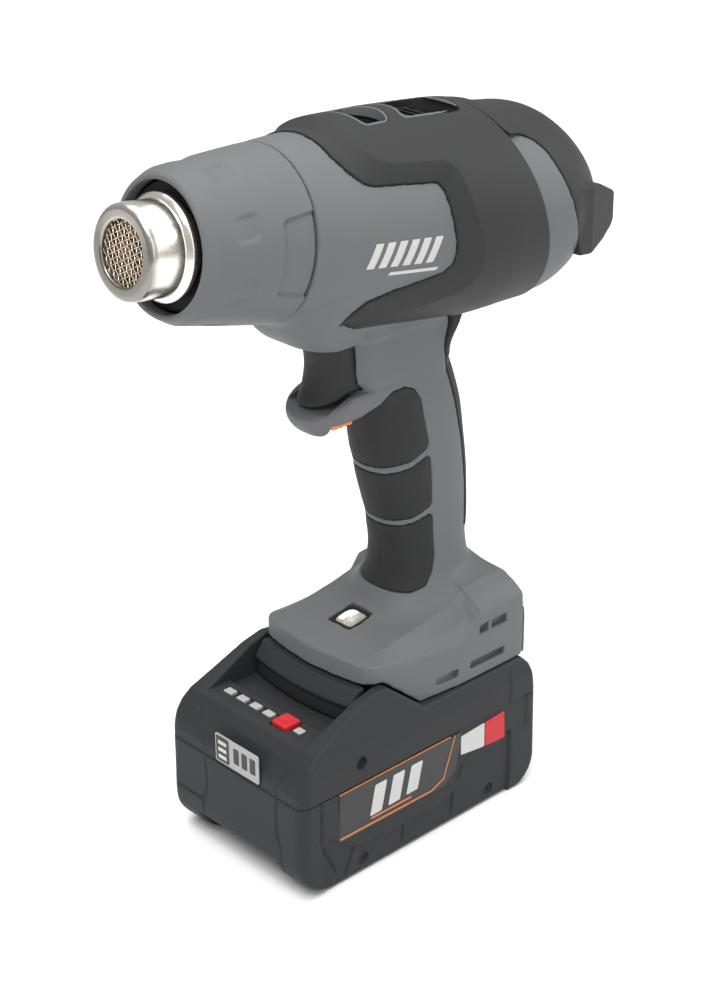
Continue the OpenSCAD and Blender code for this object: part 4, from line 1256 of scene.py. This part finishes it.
def mirrored_piece(piece, name):
    """The same piece on the other side of the middle plane."""
    mesh = piece.data
    count = len(mesh.vertices)
    co = np.empty(count * 3, np.float32)
    mesh.vertices.foreach_get("co", co)
    verts = co.reshape(-1, 3) / MM * np.array([-1, 1, 1])
    normals = np.empty(len(mesh.loops) * 3, np.float32)
    mesh.loops.foreach_get("normal", normals)
    corner = np.empty(len(mesh.loops), np.int32)
    mesh.loops.foreach_get("vertex_index", corner)
    each = np.zeros((count, 3))
    each[corner] = normals.reshape(-1, 3) * np.array([-1, 1, 1])
    return mesh_object(name, verts, corner.reshape(-1, 4)[:, ::-1], each)


def mirrored_and_finished(piece, name, body, slot, node):
    finish_piece(mirrored_piece(piece, name), body, slot, node)


def build_housing():
    for half, name in HALVES:
        lo = (-1.4 if half > 0 else -43, -50, 61)
        hi = (43 if half > 0 else 1.4, 100, 312)
        mould_piece("body_" + name, lambda p: housing(p, half), lo, hi, 0.9, "housing", "grey_plastic",
                    "housing_" + name)


def build_cover():
    left = mould_piece("shroud_left", lambda p: cover(p, 1), (-1.4, -36, 198), (43, 88, 302), 0.66, "housing",
                       "black_plastic", "cover_left")
    mirrored_and_finished(left, "shroud_right", "housing", "black_plastic", "cover_right")
    mould_piece("tail_cap", rear_cap, (-42.5, 48, 200), (42.5, 127, 292), 0.66, "housing", "black_plastic",
                "rear_cap")
    mould_piece("tail_panel", rear_panel, (-22, 117.8, 232), (22, 121, 246), 0.5, "housing", "dark_trim",
                "rear_panel")


def build_grip():
    left = mould_piece("grip_pads_left", lambda p: grip(p, 1), (-1.2, -16, 92), (18, 32, 192), 0.6, "housing",
                       "soft_grip", "grip_left")
    mirrored_and_finished(left, "grip_pads_right", "housing", "soft_grip", "grip_right")
    mould_piece("grip_spine", back_strip, (-17, 34, 112), (17, 68, 218), 0.6, "housing", "soft_grip",
                "handle_back_strip")


def build_intake():
    # The rims are lighter grey than the black cover: partly the grille's own grey, partly a painted highlight
    # along the edges of the openings.
    mould_piece("intake_rims", intake_rims, (-14, -14, 292), (14, 46, 312), 0.42, "housing", "grey_plastic",
                "intake_grille")
    mould_piece("intake_louvres", intake_louvres, (-14, -14, 275), (14, 46, 302), 0.45, "housing",
                "dark_trim")


def build_nozzle():
    finish_piece(barrel_lathe("nozzle_barrel", fillet(NOZZLE, 0.9, 3)), "housing", "steel", "nozzle_tube")
    finish_piece(woven_mesh(), "housing", "steel", "nozzle_mesh", look=wire_steel())
    finish_piece(heater_element(), "housing", "resistance_wire")
    ring = fillet([[21, 17.3], [21, 22.6], [22.6, 22.6], [22.6, 17.3]], 0.4)
    finish_piece(barrel_lathe("gap_ring", ring), "housing", "dark_trim", "heat_shield")
    # Painted shade: a ring in the darkest trim inside the sleeve's bore, round the gap, where the inside of
    # the sleeve lies in shadow.
    shade_lining = fillet([[16.9, 23.3], [16.3, 24.2], [16.6, 24.5], [22, 24.7], [22, 23.3]], 0.3)
    finish_piece(barrel_lathe("sleeve_shade_lining", shade_lining), "sleeve", "dark_trim")
    mould_piece("front_collar", sleeve, (-34, -98, 228), (34, -42, 302), 0.6, "sleeve", "grey_plastic",
                "front_sleeve")


def build_controls():
    mould_piece("finger_trigger", trigger, (-12, -28.5, 187), (12, 7, 214), 0.5, "trigger", "black_plastic",
                "trigger")
    mould_piece("lock_thumb", lock_slider, (-5, -17, 175), (5, -3, 186), 0.4, "lock", "orange_plastic",
                "lock_slider")
    mould_piece("stage_key", stage_button, (-7.5, 112, 231), (7.5, 122, 247), 0.4, "stage_button",
                "orange_plastic", "stage_button")


def spring_coil(name, start, radius, wire, length, turns):
    """A coil spring along +Y from the middle of its front end."""
    t = np.linspace(0, turns * 2 * math.pi, turns * 20 + 1)
    rise = wire + (length - 2 * wire) * t / t[-1]
    path = np.array(start) + np.stack([radius * np.cos(t), rise, radius * np.sin(t)], 1)
    return wires(name, [path], wire, 8)


def build_springs():
    """The three return springs, built as coils at rest; in the tool each shortens as its button or trigger is
    pressed towards its fixed end.
    """
    # name, joint, body, start, radius, wire, length, turns, travel, and 1 if the rear end is the fixed one
    for name, joint, body, start, radius, wire, length, turns, travel, fixed in (
            ("trigger", "trigger_pull", "housing", (0, 1.8, 203), 4, 0.45, 16.4, 7, 6, 1),
            ("stage", "stage_press", "housing", (0, 109, STAGE_Z), 3.4, 0.35, 4.1, 3, 1.2, 0),
            ("release", "release_press", "battery", (0, -25.9, 67), 2.4, 0.35, 6.6, 4, 3, 1)):
        coil = spring_coil(name + "_coil", start, radius, wire, length, turns)
        finish_piece(coil, body, "spring_steel", name + "_spring")
        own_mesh(coil)


def build_worklight():
    lo, hi = (-8, -12, 84), (8, 6, 96)
    mould_piece("light_bezel", worklight_bezel, lo, hi, 0.34, "housing", "dark_trim")
    mould_piece("light_dish", worklight_reflector, lo, hi, 0.34, "housing", "plate_silver", look=reflector())
    mould_piece("light_lamp", worklight_lamp, lo, hi, 0.3, "housing", "light_pipe", look=lamp_yellow())
    mould_piece("light_lens", worklight_lens, lo, hi, 0.34, "housing", "clear_lens", "worklight_lens")


def build_window_print():
    """Plain slanted bars where the photographed tool carries a printed mark."""
    for half, name in HALVES:
        for k in range(6):
            s = 84 + 5.6 * k
            bar = wrapped_bar(f"window_bar_{name}_{k}", s, s + 3.4, -13, 2, 3.2, half)
            finish_piece(bar, "housing", "plate_silver", look=PRINT_WHITE)
        line = wrapped_bar(f"window_line_{name}", 94, 117, -18.6, -16.6, 0.6, half)
        finish_piece(line, "housing", "plate_silver", look=PRINT_WHITE)


def build_battery():
    mould_piece("pack_base", battery_lower, (-42, -68.5, -1), (42, 68.5, 46), 0.92, "battery",
                "battery_black", "battery_lower_shell")
    mould_piece("pack_top", battery_upper, (-42, -68.5, 43), (42, 68.5, 79), 0.85, "battery", "battery_black",
                "battery_upper_shell")
    mould_piece("release_key", release_button, (-30, -36, 61), (30, -21, 78), 0.6, "release_button",
                "battery_black", "release_button")
    mould_piece("gauge_key", gauge_button, (6, -54, 60), (16.5, -43, 67), 0.34, "gauge_button", "red_plastic",
                "gauge_button")
    mould_piece("gauge_lights", gauge_strip, (-27, -51, 62), (22, -46, 65), 0.34, "battery", "light_pipe",
                "gauge_window")


def rectangle(left, right, low, high):
    return [[left, low], [left, high], [right, high], [right, low]]


def front_plate(name, corners, radius, stand, slot, *nodes, look=None):
    """A plate or a printed mark on the front of the pack, standing at the given distance from its middle."""
    piece = flat_plate(name, corners, radius, (0, -stand + PLATE, 0), (1, 0, 0), (0, 0, 1), (0, -1, 0))
    finish_piece(piece, "battery", slot, *nodes, look=look)


def side_plate(name, corners, half, radius, stand, slot, *nodes, look=None):
    """The same on one side of the pack."""
    origin = (half * (stand - PLATE), 0, 0)
    piece = flat_plate(name, corners, radius, origin, (0, 1, 0), (0, 0, 1), (half, 0, 0))
    finish_piece(piece, "battery", slot, *nodes, look=look)


def build_front_plates():
    """A generic badge with bars where the photographed pack carries a printed one."""
    front_plate("badge_plate", rectangle(-10.6, 15.6, 45.4, 58.2), 1.2, 67.1, "plate_silver", "battery_badge")
    front_plate("badge_field", rectangle(-9.9, -2.2, 46.1, 57.5), 0.8, 67.24, "label_dark")
    for k in range(3):
        x, z = 0.6 + 4.9 * k, 47.6 + 3.2 * k
        front_plate(f"badge_cell_{k}", rectangle(x, x + 3.2, 48.6, 55.6), 0.5, 67.24, "label_dark")
        front_plate(f"badge_level_{k}", rectangle(-8.6, -3.6, z, z + 1.6), 0.3, 67.36, "plate_silver",
                    look=PRINT_WHITE)


def build_side_plates():
    """Generic panels, lines and bars where the photographed pack carries lettering."""
    field = [[-47.2, 21], [-47.2, 42.8], [21, 42.8], [17.4, 26], [11, 21]]
    upper_line = [[-47.2, 42.95], [-47.2, 43.3], [14.4, 43.3], [14.2, 42.95]]
    stripe = [[-47.2, 22.2], [-47.2, 23.1], [3.2, 22.6], [10, 25.2], [16.6, 42.8], [17.2, 42.8], [10.6, 24.6],
              [3.4, 21.8]]
    foot_bar = [[-30.5, 24.6], [-30.3, 25.4], [-8, 25.2], [-8.2, 24.4]]
    red = [[34.8, 29.8], [34.8, 41.3], [46.2, 41.9], [46.7, 28.9]]
    white = [[20.6, 31.7], [20.6, 40.4], [34.4, 41.2], [34.4, 29.9]]
    orange = {"slot": "orange_plastic", "look": PRINT_ORANGE}
    pale = {"slot": "label_dark", "look": PRINT_WHITE}
    for half, name in HALVES:
        nodes = ["battery_labels"] if half > 0 else []
        side_plate(f"side_panel_{name}", field, half, 1.2, 40.22, "label_dark", *nodes)
        side_plate(f"side_line_{name}", upper_line, half, 0.05, 40.34, **orange)
        side_plate(f"side_stripe_{name}", stripe, half, 0.2, 40.36, **orange)
        side_plate(f"side_red_{name}", red, half, 0.6, 40.22, "red_plastic")
        side_plate(f"side_white_{name}", white, half, 0.6, 40.22, **pale)
        side_plate(f"side_foot_bar_{name}", foot_bar, half, 0.1, 40.36, **orange)
        for k in range(3):
            y, z = 10 * k, 0.4 * k
            bar = [[y - 31, z + 26], [y - 28, 39.4], [y - 21.6, 39.4], [y - 24.6, z + 26.2]]
            side_plate(f"side_bar_{name}_{k}", bar, half, 0.7, 40.34, **pale)


def build_screws():
    for (y, z), depth in zip(SCREWS, SCREW_DEPTH):
        piece = socket_screw((-depth - 0.2, y, z), (-1, 0, 0), 1.7, f"body_screw_{int(z)}")
        finish_piece(piece, "housing", "plated", *(["housing_screws"] if z == 222 else []))
    dark = case_screw_metal()
    for half, name in HALVES:
        for k, (y, z) in enumerate(CASE_SCREWS):
            piece = socket_screw((half * 38.6, y, z), (half, 0, 0), 0.6, f"pack_screw_{name}_{k}")
            nodes = ["battery_screws"] if k == 0 and half > 0 else []
            finish_piece(piece, "battery", "plated", *nodes, look=dark)


def dress_frame():
    """Finishes for the CAD pieces that stay in view or inside."""
    slots = {row["node"]: row["material_slot"] for row in frame["record"]["subparts"]}
    for node, piece in frame["nodes"].items():
        piece.data.materials.clear()
        piece.data.materials.append(LOOK[slots[node]])


# ---- floor, light, camera


def build_floor():
    reach = 4000
    verts = [(-reach, -reach, 0), (reach, -reach, 0), (reach, reach, 0), (-reach, reach, 0)]
    floor = mesh_object("floor", verts, [[0, 1, 2, 3]], smooth=False)
    material = surface("pale floor", (0.93, 0.93, 0.93), 0.8, 6, 0.0, 0.0, specular=0.1)
    floor.data.materials.append(material)


def area_light(name, place, target, width, height, power, gloss_only=False):
    """A soft box that the camera doesn't see, and which can be there for its reflection only."""
    data = bpy.data.lights.new(name, "AREA")
    data.shape = "RECTANGLE"
    data.size, data.size_y, data.energy = width, height, power
    light = bpy.data.objects.new(name, data)
    bpy.context.scene.collection.objects.link(light)
    light.location = place
    light.rotation_euler = (Vector(target) - Vector(place)).to_track_quat("-Z", "Y").to_euler()
    light.visible_camera = False
    light.visible_diffuse = not gloss_only


def build_light():
    world = bpy.data.worlds.new("studio")
    bpy.context.scene.world = world
    world.use_nodes = True
    world.node_tree.nodes["Background"].inputs["Color"].default_value = (1, 1, 1, 1)
    world.node_tree.nodes["Background"].inputs["Strength"].default_value = 0.48
    middle = (0, 0, 0.17)                                  # of the object, in metres
    area_light("key", (0.45, -0.95, 1.95), middle, 1.2, 1.0, 30)
    area_light("side", (1.5, -0.5, 0.9), middle, 1.5, 1.5, 7)
    area_light("top", (-0.4, 0.6, 2.3), (-0.4, 0.6, 0), 2.8, 2.8, 60)
    area_light("rear sheen", (0.9, 1.5, 1.0), (0, -0.1, 0.25), 1.6, 1.6, 22, gloss_only=True)


def build_camera():
    """The photograph's viewing angle."""
    azimuth, rise, roll = math.radians(47.04), math.radians(25.63), math.radians(-0.49)
    ahead = Vector((-math.sin(azimuth) * math.cos(rise), math.cos(azimuth) * math.cos(rise), -math.sin(rise)))
    right = Vector((math.cos(azimuth), math.sin(azimuth), 0))
    up = right.cross(ahead)
    right, up = right * math.cos(roll) + up * math.sin(roll), up * math.cos(roll) - right * math.sin(roll)
    data = bpy.data.cameras.new("camera")
    data.sensor_fit = "VERTICAL"
    data.sensor_height = 36
    data.lens = 73.4
    data.clip_end = 50
    camera = bpy.data.objects.new("camera", data)
    bpy.context.scene.collection.objects.link(camera)
    turn = Matrix((right, up, -ahead)).transposed().to_4x4()
    camera.matrix_world = Matrix.Translation((0.5299, -0.4937, 0.4883)) @ turn
    bpy.context.scene.camera = camera


for job in (dress_frame, build_housing, build_cover, build_grip, build_intake, build_nozzle, build_controls,
            build_springs, build_worklight, build_window_print, build_battery, build_front_plates,
            build_side_plates, build_screws, build_floor, build_light, build_camera):
    job()
bpy.context.scene.view_settings.view_transform = "Standard"
